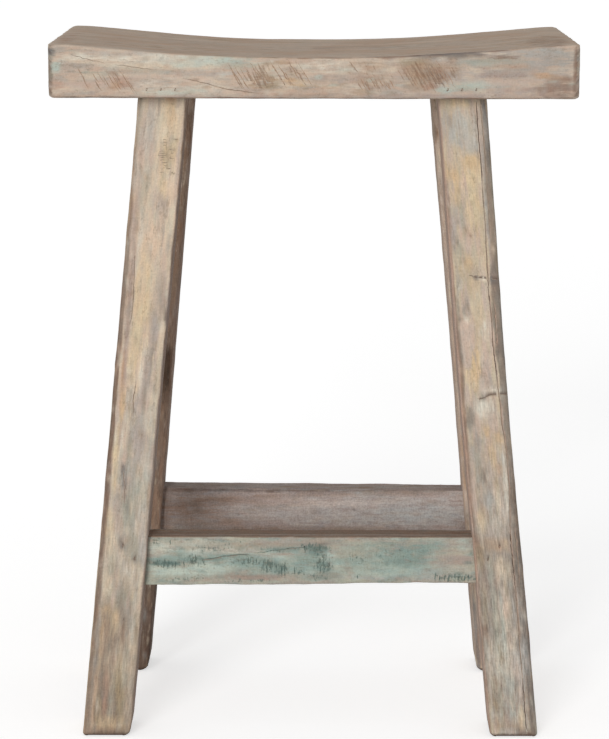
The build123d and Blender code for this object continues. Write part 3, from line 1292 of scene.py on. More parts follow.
strokeSettings = {
    "reach": 1.75,              # nothing is laid further out than this many half sizes
    "squareness": 2.2,          # 2 for an ellipse, more for a box with rounded corners
    "waves": 6,
    "waveSum": 3.5,             # what brings the sum of the waves to about -1 to 1
    "sway": (3.2, 0.22),        # wave length in half widths, and how far it moves the edge
    "ripple": (7, 0.16),        # wave length in mm, and how far it moves the edge
    "rippleStretch": 3,
    "edge": (0.35, 1.35),
    "facing": (0.2, 0.55),      # how squarely a point has to face a side to take its paint
}


def wander(first, second, size, seed):
    # a slow random sway between about -1 and 1, the same each run
    dice = np.random.default_rng(seed)
    sway = np.zeros(len(first))
    for turn in range(strokeSettings["waves"]):
        heading = dice.uniform(0, math.pi)
        length = size * dice.uniform(0.5, 1.6)
        phase = dice.uniform(0, 2 * math.pi)
        travel = first * math.cos(heading) + second * math.sin(heading)
        sway += np.sin(travel * 2 * math.pi / length + phase)
    return sway / strokeSettings["waveSum"]


def strokeCover(lengthwise, crosswise, stroke, seed):
    # how strongly a soft stroke covers each point of a face; places and sizes in mm
    along, across, halfAlong, halfAcross = stroke
    cover = np.zeros(len(lengthwise))
    far = abs(lengthwise / mm - along) / halfAlong
    wide = abs(crosswise / mm - across) / halfAcross
    near = np.nonzero(np.maximum(far, wide) < strokeSettings["reach"])[0]
    if len(near) == 0:
        return cover
    first = lengthwise[near] / mm
    second = crosswise[near] / mm
    power = strokeSettings["squareness"]
    swayLength, swayShare = strokeSettings["sway"]
    rippleLength, rippleShare = strokeSettings["ripple"]
    distance = (far[near] ** power + wide[near] ** power) ** (1 / power)
    sway = wander(first * halfAcross / halfAlong, second, swayLength * halfAcross, seed)
    ripple = wander(first / strokeSettings["rippleStretch"], second, rippleLength, seed + 1)
    distance = distance + swayShare * sway + rippleShare * ripple
    cover[near] = 1 - smooth(distance, *strokeSettings["edge"])
    return cover


def layStrokes(board, nodeName, faces, seed):
    # gives each stroke's tint, if it has one, the points it wets and how strongly it covers them
    normals = vertexNormals(board)
    straight = straightPlaces(nodeName, vertexPlaces(board))
    for face, strokes in faces.items():
        facing = smooth(normals @ np.array(faceNormals[face], float), *strokeSettings["facing"])
        members = np.nonzero(facing > 0)[0]
        through, first, second = faceAxes(nodeName, face)
        lengthwise = straight[members, first]
        crosswise = straight[members, second]
        for stroke in strokes:
            seed += 7
            *tintName, strength = stroke[:-4]
            laid = strokeCover(lengthwise, crosswise, stroke[-4:], seed) * facing[members] * strength
            wet = np.nonzero(laid > 0)[0]
            yield tintName, members[wet], laid[wet]


def paintBoard(board, nodeName, faces):
    # keeps colour and cover for each point
    tone = np.zeros((len(board.data.vertices), 4))
    tone[:, :3] = 0.5
    for (tintName,), wet, laid in layStrokes(board, nodeName, faces, 100 + 40 * len(nodeName)):
        under = tone[wet]
        whole = laid + under[:, 3] * (1 - laid)
        share = (laid / np.maximum(whole, 1e-6))[:, None]
        colour = under[:, :3] * (1 - share) + np.array(tints[tintName]) * share
        tone[wet] = np.column_stack([colour, whole])
    attribute = board.data.attributes.new("paintTone", "FLOAT_COLOR", "POINT")
    attribute.data.foreach_set("color", tone.astype(np.float32).ravel())


def brushMark(board, nodeName, faces):
    mark = np.zeros(len(board.data.vertices))
    for noTint, wet, laid in layStrokes(board, nodeName, faces, 900):
        mark[wet] = np.maximum(mark[wet], laid)
    return mark


# stray strokes: how many in each 100 mm of a face up to 60 mm wide, how strong, how long at most,
# and from which colours
straySettings = {
    "legs": (
        9, 0.45, 38, "cream pale yellow ochre pink lilac grey moss stain mauve coolGrey olive reddish mint",
    ),
    "painted": (4, 0.28, 38, "cream pale yellow pink lilac grey moss stain mauve olive"),
    "legFlecks": (55, 0.34, 6, "cream pale stain pink lilac grey moss mauve olive umber yellow peach pale"),
    "seat": (12, 0.5, 38, "cream pale pink lilac mint coolGrey tan stain ochre mauve moss"),
    "seatFront": (5, 0.3, 38, "cream pale pink lilac mint coolGrey tan mauve"),
    "seatFlecks": (60, 0.36, 6, "cream pale pink lilac mint tan moss mauve umber reddish brown"),
    "seatTop": (12, 0.25, 38, "tan mauve pink stain grey olive"),
    "topFlecks": (60, 0.28, 9, "mauve tan reddish olive stain pink grey brown"),
    "bareBoards": (8, 0.4, 38, "tan brown lilac mauve stain grey umber"),
    "bareFlecks": (50, 0.3, 9, "tan brown lilac mauve stain coolGrey umber coolGrey"),
    "frontRail": (6, 0.3, 38, "beige mint teal mauve moss grey"),
    "railFlecks": (70, 0.42, 5, "beige mint teal deepTeal moss mauve stain teal deepTeal"),
}


def strayStrokes(nodeName, face, kind):
    count, strongest, longest, names = straySettings[kind]
    names = names.split()
    dice = np.random.default_rng(sum(map(ord, nodeName + face + kind)))
    through, first, second = faceAxes(nodeName, face)
    lengthwise = faceReach(nodeName, first)
    crosswise = faceReach(nodeName, second)
    length = lengthwise[1] - lengthwise[0]
    width = crosswise[1] - crosswise[0]
    strokes = []
    for turn in range(round(count * length / 100 * max(1, width / 60))):
        name = names[dice.integers(len(names))]
        along = dice.uniform(*lengthwise)
        across = dice.uniform(*crosswise)
        halfAlong = dice.uniform(min(6, longest / 3), longest)
        strength = strongest * dice.uniform(0.4, 1)
        halfAcross = dice.uniform(1.2, 1.9 + halfAlong / 8)
        strokes.append((name, strength, along, across, halfAlong, halfAcross))
    return strokes


def faceReach(nodeName, axis):
    # how far a board reaches along an axis, in mm, about its own line
    low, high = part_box(nodeName)
    if nodeName in legSides and axis < 2:
        return -stoolSize["legSide"] / 2 / mm, stoolSize["legSide"] / 2 / mm
    return low[axis] / mm, high[axis] / mm


paint = {
    "front_left_leg": {
        "front": [
            ("peach", 0.4, 480, 2, 160, 22), ("grey", 0.55, 235, 3, 95, 30), ("umber", 0.8, 45, 0, 115, 34),
            ("mauve", 0.45, 500, -15, 120, 3), ("mauve", 0.6, 380, -14.5, 110, 2.5),
            ("brown", 0.75, 300, -20.5, 340, 3), ("stain", 0.5, 420, -20, 60, 2.5),
            ("dark", 0.35, 250, -20, 160, 2), ("lilac", 0.35, 572, -8, 40, 7),
            ("stain", 0.4, 590, -19, 30, 2.5), ("mauve", 0.4, 555, -15, 34, 3),
            ("yellow", 0.6, 580, 8, 30, 12), ("ochre", 0.7, 596, 9, 14, 5), ("yellow", 0.7, 556, 9, 18, 9),
            ("orange", 0.6, 608, 8, 3, 5), ("yellow", 0.6, 532, 7, 14, 4),
            ("coolGrey", 0.5, 582, -9, 20, 5), ("olive", 0.3, 558, 9, 13, 7),
            ("olive", 0.4, 570.5, 16, 1.5, 3), ("olive", 0.45, 540, 16, 1.5, 2.2),
            ("umber", 0.4, 568, 6, 2, 4), ("umber", 0.35, 561.5, 13, 1.5, 5), ("umber", 0.3, 556, 5, 5, 4),
            ("pink", 0.6, 560, -15, 24, 5), ("moss", 0.4, 536, -9, 16, 5), ("lilac", 0.4, 512, 2, 17, 6),
            ("grey", 0.3, 506, 11, 14, 5), ("moss", 0.3, 520, -9, 20, 4), ("peach", 0.6, 475, 1, 22, 7),
            ("pale", 0.5, 485, -9, 26, 3), ("grey", 0.5, 472, 18, 18, 3.5), ("yellow", 0.8, 425, -3, 36, 8),
            ("peach", 0.5, 440, -4, 20, 5), ("yellow", 0.7, 370, -5, 32, 7),
            ("ochre", 0.6, 320, -13, 22, 3), ("orange", 0.5, 345, -15.5, 26, 2),
            ("grey", 0.5, 432, 13, 28, 6), ("stain", 0.3, 425, 17, 24, 3), ("stain", 0.3, 405, 8, 8, 4),
            ("lilac", 0.85, 388, 11, 20, 4), ("stain", 0.5, 372, 10.5, 20, 2),
            ("lilac", 0.85, 357, 8, 20, 4), ("lilac", 0.9, 325, 3, 20, 5), ("stain", 0.5, 325, 7, 24, 2),
            ("cream", 0.7, 362, 18, 38, 3), ("pale", 0.5, 310, 12, 12, 6), ("dark", 0.7, 406, 21, 7, 2.5),
            ("pale", 0.5, 350, 2, 20, 2.5), ("lilac", 0.8, 287, 4, 20, 8), ("moss", 0.5, 275, -2, 22, 3),
            ("pale", 0.6, 290, -11, 16, 3), ("ochre", 0.5, 290, -14.5, 20, 2),
            ("yellow", 0.5, 268, -15, 34, 3), ("grey", 0.6, 250, -1, 18, 7), ("orange", 0.5, 260, 9, 6, 4),
            ("moss", 0.7, 240, 10, 20, 8), ("slate", 0.8, 262, -7, 6, 2.4),
            ("slate", 0.85, 249, -4.5, 8, 2.4), ("slate", 0.7, 232, -3, 8, 1.8),
            ("moss", 0.75, 222, 0, 20, 8), ("pink", 0.4, 215, -9, 14, 4), ("slate", 0.4, 222, 0, 10, 1.8),
            ("yellow", 0.4, 205, -15, 20, 4), ("moss", 0.5, 190, 9, 16, 8), ("stain", 0.6, 190, -2, 7, 4.5),
            ("slate", 0.6, 189, -2, 3.5, 2.6), ("stain", 0.6, 175, 11, 3, 2.4),
            ("stain", 0.4, 175, 10, 5, 4), ("coolGrey", 0.6, 180, 18, 12, 3.5),
            ("cream", 0.5, 178, -12, 24, 6), ("lilac", 0.5, 200, 15, 16, 3), ("pale", 0.5, 163, 6, 8, 6),
            ("moss", 0.45, 167, -8, 10, 6), ("tan", 0.5, 226, 19, 26, 2), ("moss", 0.5, 140, 2, 14, 8),
            ("stain", 0.6, 128, 1, 12, 3), ("stain", 0.6, 116, 5, 8, 3), ("ochre", 0.6, 126, -12, 5, 5),
            ("ochre", 0.6, 118, -4, 8, 5), ("yellow", 0.45, 106, -3, 10, 5),
            ("brown", 0.6, 104, 6, 12, 2.2), ("pale", 0.55, 112, 14, 32, 3), ("grey", 0.5, 120, 10, 30, 4),
            ("tan", 0.45, 95, -12, 40, 5), ("ochre", 0.4, 80, -15, 34, 2), ("brown", 0.5, 78, -3, 24, 4),
            ("pale", 0.6, 85, 0, 3, 1.2), ("stain", 0.5, 60, -2, 70, 22), ("olive", 0.75, 58, 5, 25, 5),
            ("moss", 0.4, 70, 10, 30, 3), ("brown", 0.55, 45, -8, 22, 4), ("reddish", 0.4, 44, -6, 22, 3),
            ("olive", 0.65, 30, 9, 22, 4), ("moss", 0.4, 40, 0, 30, 2.5), ("ochre", 0.5, 12, 2, 6, 16),
            ("grey", 0.45, 50, 18, 40, 3), ("grey", 0.5, 72, -18, 70, 2.5), ("olive", 0.55, 26, -13, 20, 4),
            # Painted shade: the dark band at the sole, 0 to 2.6 mm up, stands for the contact shadow, and the
            # thin dark line at 611 mm for the shade under the seat. The dark lines along the arrises, here
            # and at 250 mm, are partly worn edges and partly painted shade of the rounded arrises.
            ("orange", 0.4, 40, -17, 34, 2), ("dark", 0.6, 230, -22.5, 250, 1.4),
            ("dark", 0.95, 0.5, 0, 2.6, 30), ("dark", 0.5, 60, 22.5, 60, 1.3),
            ("dark", 0.5, 611, 0, 1.6, 30), ("pale", 0.25, 584, 0, 24, 24), ("cream", 0.2, 538, -13, 22, 8),
            ("cream", 0.2, 538, 14, 22, 7), ("stain", 0.08, 492, -13, 22, 8),
            ("pale", 0.2, 538, -14, 22, 8), ("stain", 0.04, 399, 0, 26, 24), ("stain", 0.2, 353, 14, 24, 7),
            ("stain", 0.1, 307, 14, 22, 7), ("pale", 0.3, 261, 13, 22, 7), ("pale", 0.28, 215, 14, 22, 7),
            ("pale", 0.12, 261, 0, 22, 6), ("stain", 0.2, 123, 12, 22, 9), ("cream", 0.28, 77, 6, 22, 14),
            # The last brown stroke here and the dark one below it, 3 to 5 mm up, are painted contact shade at
            # the sole.
            ("stain", 0.12, 140, -4, 44, 18), ("cream", 0.22, 52, 15, 40, 6), ("brown", 0.4, 5, -4, 5, 16),
            ("dark", 0.35, 3, -2, 4, 22),
        ],
        "right": [("mauve", 0.6, 300, 0, 340, 30), ("lilac", 0.25, 300, 0, 340, 30)],
    },
    "front_right_leg": {
        "front": [
            ("grey", 0.6, 170, 0, 190, 34), ("coolGrey", 0.35, 80, 4, 100, 20),
            # The dark strokes along the right strip, about 15 to 21 mm across, are partly stain and partly
            # painted shade of its rounded arris, which turns away from the light.
            ("brown", 0.7, 300, -22.5, 340, 2), ("stain", 0.8, 300, 19, 340, 4),
            ("grey", 0.6, 570, 15, 40, 1.8), ("stain", 0.6, 410, 15, 30, 3), ("ash", 0.6, 376, 15, 14, 5),
            ("stain", 0.6, 320, 17, 30, 4), ("ash", 0.8, 182, 18, 24, 4.5), ("ash", 0.7, 235, 18, 34, 4),
            ("ash", 0.6, 120, 17, 50, 3.5), ("ash", 0.5, 440, 17, 12, 4), ("ash", 0.7, 45, 18.5, 46, 3.5),
            ("coolGrey", 0.4, 250, 12, 40, 2), ("lilac", 0.4, 560, 15, 60, 2),
            ("coolGrey", 0.4, 490, 14.5, 40, 1.6), ("ash", 0.5, 575, 11.5, 30, 1.2),
            ("slate", 0.8, 182, 19, 24, 3.4), ("slate", 0.6, 100, 19.5, 60, 2.8),
            ("slate", 0.6, 40, 20.5, 40, 2.4), ("brown", 0.7, 140, 12.5, 70, 1.4),
            ("ash", 0.6, 75, 12, 40, 1.2), ("slate", 0.5, 400, 20.5, 60, 2),
            ("slate", 0.6, 300, 20.5, 50, 2), ("dark", 0.6, 182, 19.5, 22, 2.4),
            ("dark", 0.45, 100, 20.5, 60, 1.8), ("dark", 0.4, 230, 20, 26, 2),
            ("dark", 0.5, 575, 21, 26, 2), ("ash", 0.4, 500, 19.5, 60, 2),
            ("stain", 0.45, 120, -2, 110, 26), ("yellow", 0.8, 605, -4, 5, 16),
            ("coolGrey", 0.8, 582, -6, 20, 16), ("lilac", 0.5, 585, -18, 22, 4),
            ("stain", 0.25, 590, -12, 8, 3), ("olive", 0.3, 578, 6, 10, 3),
            ("coolGrey", 0.6, 568, 0, 8, 12), ("ochre", 0.9, 549, 3, 12, 9),
            ("ochre", 0.75, 540, -14, 13, 8), ("yellow", 0.7, 528, 4, 20, 9),
            ("ochre", 0.5, 520, -12, 14, 6), ("yellow", 0.6, 506, 2, 22, 8), ("moss", 0.4, 500, -9, 20, 4),
            ("lilac", 0.65, 488, -16, 26, 5), ("ochre", 0.5, 476, 4, 18, 5), ("moss", 0.4, 468, -12, 14, 6),
            ("brown", 0.5, 481, -2, 4, 2), ("dark", 0.4, 478, -15, 3, 2), ("mauve", 0.4, 500, -20, 40, 2),
            ("slate", 0.9, 575, 20.5, 30, 3), ("stain", 0.6, 530, 18, 40, 3),
            ("umber", 0.5, 480, 18, 30, 3), ("ochre", 0.6, 457, -5, 8, 5), ("yellow", 0.4, 440, -8, 20, 5),
            ("slate", 0.6, 443.6, 2, 1.5, 5), ("pale", 0.9, 442.5, 8, 2, 5), ("grey", 0.5, 449, 0, 3, 6),
            ("stain", 0.4, 420, -13, 10, 4), ("stain", 0.3, 409, -18, 6, 4),
            ("slate", 0.3, 420, -10, 7, 1.8), ("pink", 0.4, 395, -5, 18, 8), ("pale", 0.5, 393, 3, 12, 5),
            ("lilac", 0.4, 380, -17, 20, 4), ("ochre", 0.65, 366, -6, 14, 5),
            ("ochre", 0.6, 350, -10, 14, 5), ("yellow", 0.5, 345, -14, 14, 4),
            ("pale", 0.85, 321, -2, 11, 9), ("stain", 0.6, 312, -16, 12, 4), ("lilac", 0.5, 350, 3, 22, 4),
            ("stain", 0.6, 415, 17, 20, 3), ("ash", 0.5, 363, 17, 26, 3), ("pale", 0.5, 337, 7, 2.5, 8),
            ("slate", 0.7, 442, 17, 4, 5), ("stain", 0.7, 333.5, 9, 1.7, 13),
            ("stain", 0.5, 293.5, 13, 1.5, 8), ("stain", 0.6, 411, -14, 5, 2),
            ("stain", 0.5, 418, -19, 6, 1.6), ("ochre", 0.6, 425, -17, 3, 2.4),
            ("slate", 0.45, 406, -18, 4, 1.6), ("pale", 0.6, 404, -12, 3, 3), ("pale", 0.6, 432, -15, 4, 3),
            ("grey", 0.5, 333, 16, 12, 3), ("stain", 0.5, 362, -20, 40, 2), ("ochre", 0.7, 300, -2, 8, 4),
            ("ochre", 0.55, 291, 8, 8, 6), ("ochre", 0.6, 274, 2, 16, 4), ("grey", 0.75, 284, -12, 22, 3),
            ("orange", 0.6, 262, 8, 6, 3), ("stain", 0.8, 254, -8, 7, 4), ("pale", 0.65, 242, 12, 22, 2.5),
            ("coolGrey", 0.7, 231, -5, 9, 5), ("lilac", 0.4, 222, 7, 16, 4), ("moss", 0.5, 262, -13, 22, 3),
            ("yellow", 0.4, 240, 3, 24, 3), ("stain", 0.5, 232, -16, 20, 2), ("lilac", 0.6, 200, -4, 7, 10),
            ("tan", 0.8, 189, -6, 6, 15), ("brown", 0.65, 190, -20, 12, 3), ("olive", 0.5, 178, -18, 14, 4),
            ("ash", 0.7, 175, 16, 30, 2.5), ("cream", 0.6, 166, 2, 12, 7),
            ("yellow", 0.45, 215, -14, 16, 5), ("pink", 0.5, 240, -19, 30, 3),
            ("moss", 0.5, 168, -8, 16, 4), ("moss", 0.65, 120, -8, 30, 4), ("cream", 0.45, 120, 4, 30, 4),
            ("brown", 0.75, 107, -19, 8, 3), ("olive", 0.4, 128, -17, 20, 3), ("lilac", 0.65, 85, 6, 42, 4),
            ("moss", 0.55, 70, -8, 40, 4), ("pink", 0.4, 132, 0, 14, 8), ("stain", 0.4, 100, -11, 34, 2),
            ("mint", 0.4, 100, -2, 50, 2.5), ("moss", 0.45, 35, -10, 24, 4), ("olive", 0.5, 36, -15, 26, 3),
            ("mint", 0.3, 36, 2, 24, 4), ("tan", 0.55, 12, -5, 6, 14), ("yellow", 0.4, 18, 8, 12, 4),
            ("ash", 0.7, 75, 19, 78, 3.5), ("slate", 0.5, 90, 17, 30, 2.5), ("pink", 0.4, 60, 10, 30, 2.5),
            # Painted shade: the dark band at the sole, 0 to 2.6 mm up, stands for the contact shadow, and the
            # thin dark line at 611 mm for the shade under the seat. The dark lines along the arrises at 22.5
            # mm either side are partly worn edges and partly painted shade of the rounded arrises.
            ("brown", 0.5, 400, -21.5, 215, 1.6), ("dark", 0.55, 300, 22.5, 330, 1.4),
            ("dark", 0.95, 0.5, 0, 2.6, 30), ("dark", 0.5, 60, -22.5, 60, 1.2),
            ("dark", 0.45, 611, 0, 1.6, 30), ("pale", 0.3, 584, 4, 24, 18), ("stain", 0.15, 492, 8, 24, 12),
            ("stain", 0.25, 445, -12, 24, 9), ("stain", 0.15, 445, 0, 24, 8),
            ("stain", 0.35, 445, 15, 24, 6), ("dark", 0.25, 445, 18, 22, 4),
            ("stain", 0.08, 307, 8, 24, 12), ("pale", 0.4, 215, 1, 22, 9),
            ("coolGrey", 0.35, 123, 14, 24, 6), ("pale", 0.4, 77, -6, 24, 16),
            # The brown and dark strokes at the sole, 3 to 5 mm up, are painted contact shade.
            ("coolGrey", 0.65, 77, 14, 24, 6), ("brown", 0.35, 5, 12, 5, 9), ("dark", 0.35, 3, 12, 4, 9),
            ("slate", 0.6, 441.5, 15.5, 1.8, 4), ("slate", 0.55, 329.5, -3, 1.9, 4),
            ("pale", 1.0, 441.8, 7.5, 2.8, 4), ("cream", 0.9, 440, 8, 2, 3),
        ],
        "left": [
            ("pink", 1.0, 300, 0, 360, 34), ("mauve", 0.45, 300, 0, 340, 30),
            ("reddish", 0.5, 300, -20, 340, 4),
        ],
    },
    "rear_left_leg": {
        # The brown and dark strokes on this leg's front and inner faces are partly darker wood and partly
        # painted shade from the front left leg, darkest from the foot up to about 150 mm.
        "front": [("brown", 0.6, 300, 0, 340, 30), ("dark", 0.6, 60, 0, 90, 40)],
        "right": [
            ("mauve", 0.5, 300, 0, 340, 30), ("dark", 0.5, 408, 0, 8, 20), ("dark", 0.7, 60, 0, 90, 40),
        ],
    },
    "rear_right_leg": {
        "front": [
            ("tan", 0.7, 260, 0, 300, 30), ("pink", 0.4, 420, 0, 180, 30),
            ("reddish", 0.6, 90, -8, 110, 12), ("slate", 0.6, 40, -21, 60, 2.5),
        ],
        "left": [("pink", 0.6, 300, 0, 340, 30), ("mauve", 0.4, 120, 0, 120, 30)],
    },
    "seat": {
        "front": [
            ("lilac", 0.5, 150, 636, 120, 30), ("mauve", 0.35, 0, 613, 260, 3),
            ("pale", 0.5, -160, 648, 80, 4), ("cream", 0.5, -120, 640, 60, 4),
            ("pink", 0.6, -200, 624, 45, 5), ("pink", 0.5, -140, 630, 50, 4),
            ("mauve", 0.35, -215, 640, 24, 3), ("pink", 0.5, -60, 618, 60, 4),
            ("stain", 0.85, -238, 636, 3.5, 26), ("slate", 0.75, -235, 652, 6, 5),
            ("mint", 0.8, -231, 640, 5, 6), ("reddish", 0.35, -231, 622, 8, 5),
            ("moss", 0.4, -195, 634, 26, 2.5), ("lilac", 0.5, -170, 652, 40, 2.5),
            ("mint", 0.7, -95, 645, 34, 5), ("moss", 0.5, -150, 636, 30, 2.5),
            ("mint", 0.5, -128, 618, 30, 4), ("coolGrey", 0.4, -100, 634, 40, 3),
            ("reddish", 0.5, -171, 625, 11, 6), ("orange", 0.4, -177, 622, 6, 4),
            ("tan", 0.5, -46, 630, 16, 12), ("moss", 0.4, -62, 640, 18, 5), ("tan", 0.5, -27, 643, 14, 4),
            ("ochre", 0.55, -14, 625, 9, 6), ("olive", 0.4, -36, 624, 8, 6), ("tan", 0.4, -16, 636, 10, 6),
            ("pink", 0.4, 12, 618, 40, 3), ("pale", 0.5, 12, 640, 30, 5), ("lilac", 0.4, 20, 630, 40, 4),
            ("tan", 0.45, 60, 628, 18, 7), ("reddish", 0.3, 52, 633, 14, 4), ("tan", 0.55, 48, 618, 12, 4),
            ("tan", 0.75, 100, 638, 22, 9), ("brown", 0.45, 112, 632, 14, 6), ("tan", 0.6, 98, 624, 16, 6),
            ("reddish", 0.5, 108, 622, 9, 4), ("tan", 0.45, 128, 638, 8, 7),
            # The thin slate, stain and brown lines along the top edge, about 650 mm high from the middle
            # rightwards, are a painted shade line at the front arris.
            ("olive", 0.35, 90, 644, 14, 4), ("slate", 0.85, 131, 651, 27, 2),
            ("stain", 0.5, 120, 649, 34, 2.4), ("mint", 0.65, 146, 622, 24, 5),
            ("mint", 0.5, 118, 618, 10, 3), ("mint", 0.4, 150, 643, 18, 4), ("moss", 0.5, 170, 645, 30, 3),
            ("brown", 0.6, 175, 649, 16, 1.6), ("tan", 0.4, 180, 640, 24, 2.5),
            ("coolGrey", 0.6, 212, 651, 25, 5), ("coolGrey", 0.4, 215, 642, 22, 4),
            ("orange", 0.55, 208, 632, 9, 3), ("tan", 0.55, 222, 630, 12, 3),
            ("mauve", 0.5, 205, 619, 38, 3), ("pink", 0.5, 185, 626, 40, 3),
            ("brown", 0.7, 238.5, 636, 2.5, 24), ("mauve", 0.4, 175, 633, 24, 4),
            ("grey", 0.4, 200, 637, 30, 2.5), ("lilac", 0.4, 0, 613, 250, 1.2),
            ("brown", 0.4, 60, 650, 100, 1.2), ("pale", 0.2, -180, 647, 70, 9),
            ("pale", 0.28, -99, 645, 24, 8), ("mint", 0.2, -59, 643, 20, 7), ("tan", 0.3, 60, 641, 22, 6),
            ("stain", 0.15, 140, 645, 22, 7), ("stain", 0.18, 222, 645, 22, 9),
            ("pale", 0.35, -139, 621, 24, 9), ("pale", 0.2, -99, 621, 22, 9), ("tan", 0.25, 0, 621, 44, 9),
            ("brown", 0.5, 222, 620, 20, 10),
        ],
        "top": [
            # The brown and slate lines along the front edge of the top, about 118 mm forward, are a painted
            # shade line at the front arris.
            ("brown", 0.55, 50, -119, 110, 2.4), ("slate", 0.6, 130, -118.5, 40, 3),
            ("reddish", 0.35, -228, -40, 10, 80), ("brown", 0.35, 218, -60, 24, 60),
            ("brown", 0.3, 190, -117, 40, 3), ("tan", 0.3, -150, -60, 60, 16),
            ("grey", 0.25, 60, 0, 120, 40), ("tan", 0.3, 200, -60, 40, 30),
        ],
    },
    "front_rail": {
        "front": [
            ("beige", 0.6, -110, 187, 46, 4), ("beige", 0.7, -50, 186, 50, 3),
            ("pink", 0.4, -60, 181, 50, 2), ("mint", 0.45, 0, 168, 160, 18),
            ("teal", 0.75, -132, 171, 26, 6), ("teal", 0.5, -132, 178, 20, 3),
            ("deepTeal", 0.7, -138, 168, 16, 3), ("deepTeal", 0.55, -112, 171, 14, 3),
            ("teal", 0.6, -98, 173, 26, 4), ("deepTeal", 0.45, -96, 172, 18, 1.8),
            ("deepTeal", 0.5, -70, 175.5, 24, 1.8), ("deepTeal", 0.45, -30, 182, 28, 1.8),
            ("stain", 0.4, -105, 184, 24, 2.4), ("slate", 0.3, -55, 170, 22, 3),
            ("teal", 0.85, -58, 170, 28, 6), ("teal", 0.6, -20, 181, 30, 3),
            ("deepTeal", 0.45, -35, 165, 14, 7), ("mint", 0.9, -130, 158, 28, 7),
            ("mint", 0.85, -92, 163, 24, 5), ("mint", 0.5, -148, 182, 8, 6),
            ("moss", 0.5, -100, 154, 40, 3), ("mauve", 0.6, -50, 154, 40, 3),
            ("mint", 0.6, -50, 160, 24, 3), ("teal", 0.8, -8, 170, 16, 10),
            ("deepTeal", 0.55, 8, 180, 12, 6), ("deepTeal", 0.5, 12, 164, 8, 8),
            ("mint", 0.5, -6, 160, 16, 5), ("beige", 0.5, -12, 154, 20, 4), ("moss", 0.7, 42, 176, 26, 9),
            ("teal", 0.5, 36, 170, 22, 4), ("moss", 0.7, 40, 160, 30, 5), ("teal", 0.75, 84, 176, 34, 8),
            ("teal", 0.6, 84, 168, 30, 4), ("deepTeal", 0.3, 92, 172, 20, 5),
            ("teal", 0.55, 102, 184, 20, 4), ("mint", 0.7, 76, 160, 50, 5),
            ("coolGrey", 0.4, 60, 154, 50, 3), ("beige", 0.6, 134, 180, 22, 6),
            ("mauve", 0.5, 134, 171, 24, 6), ("beige", 0.5, 138, 162, 20, 5),
            ("mint", 0.3, 145, 185, 10, 6), ("beige", 0.4, 60, 190, 90, 2), ("stain", 0.4, -60, 157, 36, 6),
            ("teal", 0.45, -40, 162, 34, 5), ("teal", 0.55, 5, 158, 20, 8), ("stain", 0.35, 12, 156, 18, 5),
            ("teal", 0.3, 45, 163, 24, 9), ("teal", 0.4, 90, 160, 34, 7),
            ("coolGrey", 0.4, 112, 158, 16, 6), ("stain", 0.3, -48, 186, 40, 3),
            ("stain", 0.35, 5, 188, 24, 4), ("teal", 0.3, 110, 186, 16, 5),
            ("deepTeal", 0.3, 75, 188, 14, 2), ("pale", 0.35, -145, 183, 16, 8),
            ("pale", 0.2, -111, 183, 16, 8), ("slate", 0.12, -15, 183, 18, 9),
            ("slate", 0.1, 17, 183, 16, 9), ("teal", 0.3, 113, 183, 20, 9), ("teal", 0.2, 52, 183, 20, 8),
            ("deepTeal", 0.15, -15, 160, 16, 8), ("teal", 0.15, 113, 162, 18, 8),
            ("deepTeal", 0.12, 97, 183, 18, 9), ("mint", 0.2, -120, 183, 50, 9),
            ("pale", 0.12, 148, 160, 8, 8),
        ],
        "top": [
            ("brown", 0.7, 0, -107, 200, 40), ("stain", 0.35, 0, -107, 200, 30),
            ("lilac", 0.7, 0, -94.5, 170, 2.2),
        ],
    },
    # The left rail's inner face is painted near black as painted shade: the dark band that the rail's inner
    # side shows between the left legs.
    "left_rail": {"right": [("dark", 1.0, 0, 329, 300, 60), ("dark", 0.9, 0, 329, 300, 60)]},
    "rear_rail": {
        "front": [
            # The dark stroke at the left end and the reddish and brown strokes over the left part are painted
            # shadow of the left legs, from the light at the front left.
            ("dark", 0.3, -154, 172, 9, 30), ("reddish", 0.3, -110, 172, 50, 30),
            ("brown", 0.3, -128, 176, 44, 12), ("brown", 0.35, -70, 183, 50, 5),
            ("lilac", 0.6, 70, 172, 110, 30), ("coolGrey", 0.5, 100, 170, 50, 8),
            ("lilac", 0.4, 0, 166, 60, 6), ("pink", 0.3, 10, 180, 70, 4), ("brown", 0.4, -10, 153, 120, 3),
            ("mauve", 0.4, 120, 188, 40, 3), ("dark", 0.55, 0, 193.5, 170, 2.4),
            ("brown", 0.45, 60, 190, 110, 3), ("mauve", 0.55, -48, 182, 36, 6),
            ("dark", 0.6, 43, 172.5, 1.5, 1.5), ("dark", 0.55, 43, 159, 1.5, 1.5),
            ("brown", 0.5, -118, 176, 6, 6), ("coolGrey", 0.4, 90, 162, 60, 5),
            ("brown", 0.35, -20, 188, 60, 3),
        ],
    },
}
bare = {
    "front_left_leg": {"right": [(0.9, 300, 0, 500, 60)]},
    "front_right_leg": {"left": [(0.15, 300, 0, 500, 60)]},
    # The rear legs' front and inner faces are bared to darker wood, the left one most, partly as painted
    # shade from the front legs.
    "rear_left_leg": {"front": [(0.8, 300, 0, 500, 60)], "right": [(0.8, 300, 0, 500, 60)]},
    "rear_right_leg": {"front": [(0.6, 300, 0, 500, 60)], "left": [(0.5, 300, 0, 500, 60)]},
    "front_rail": {"top": [(0.9, 0, -107, 400, 60)]},
    "seat": {"bottom": [(0.9, 0, 0, 600, 300)]},
}
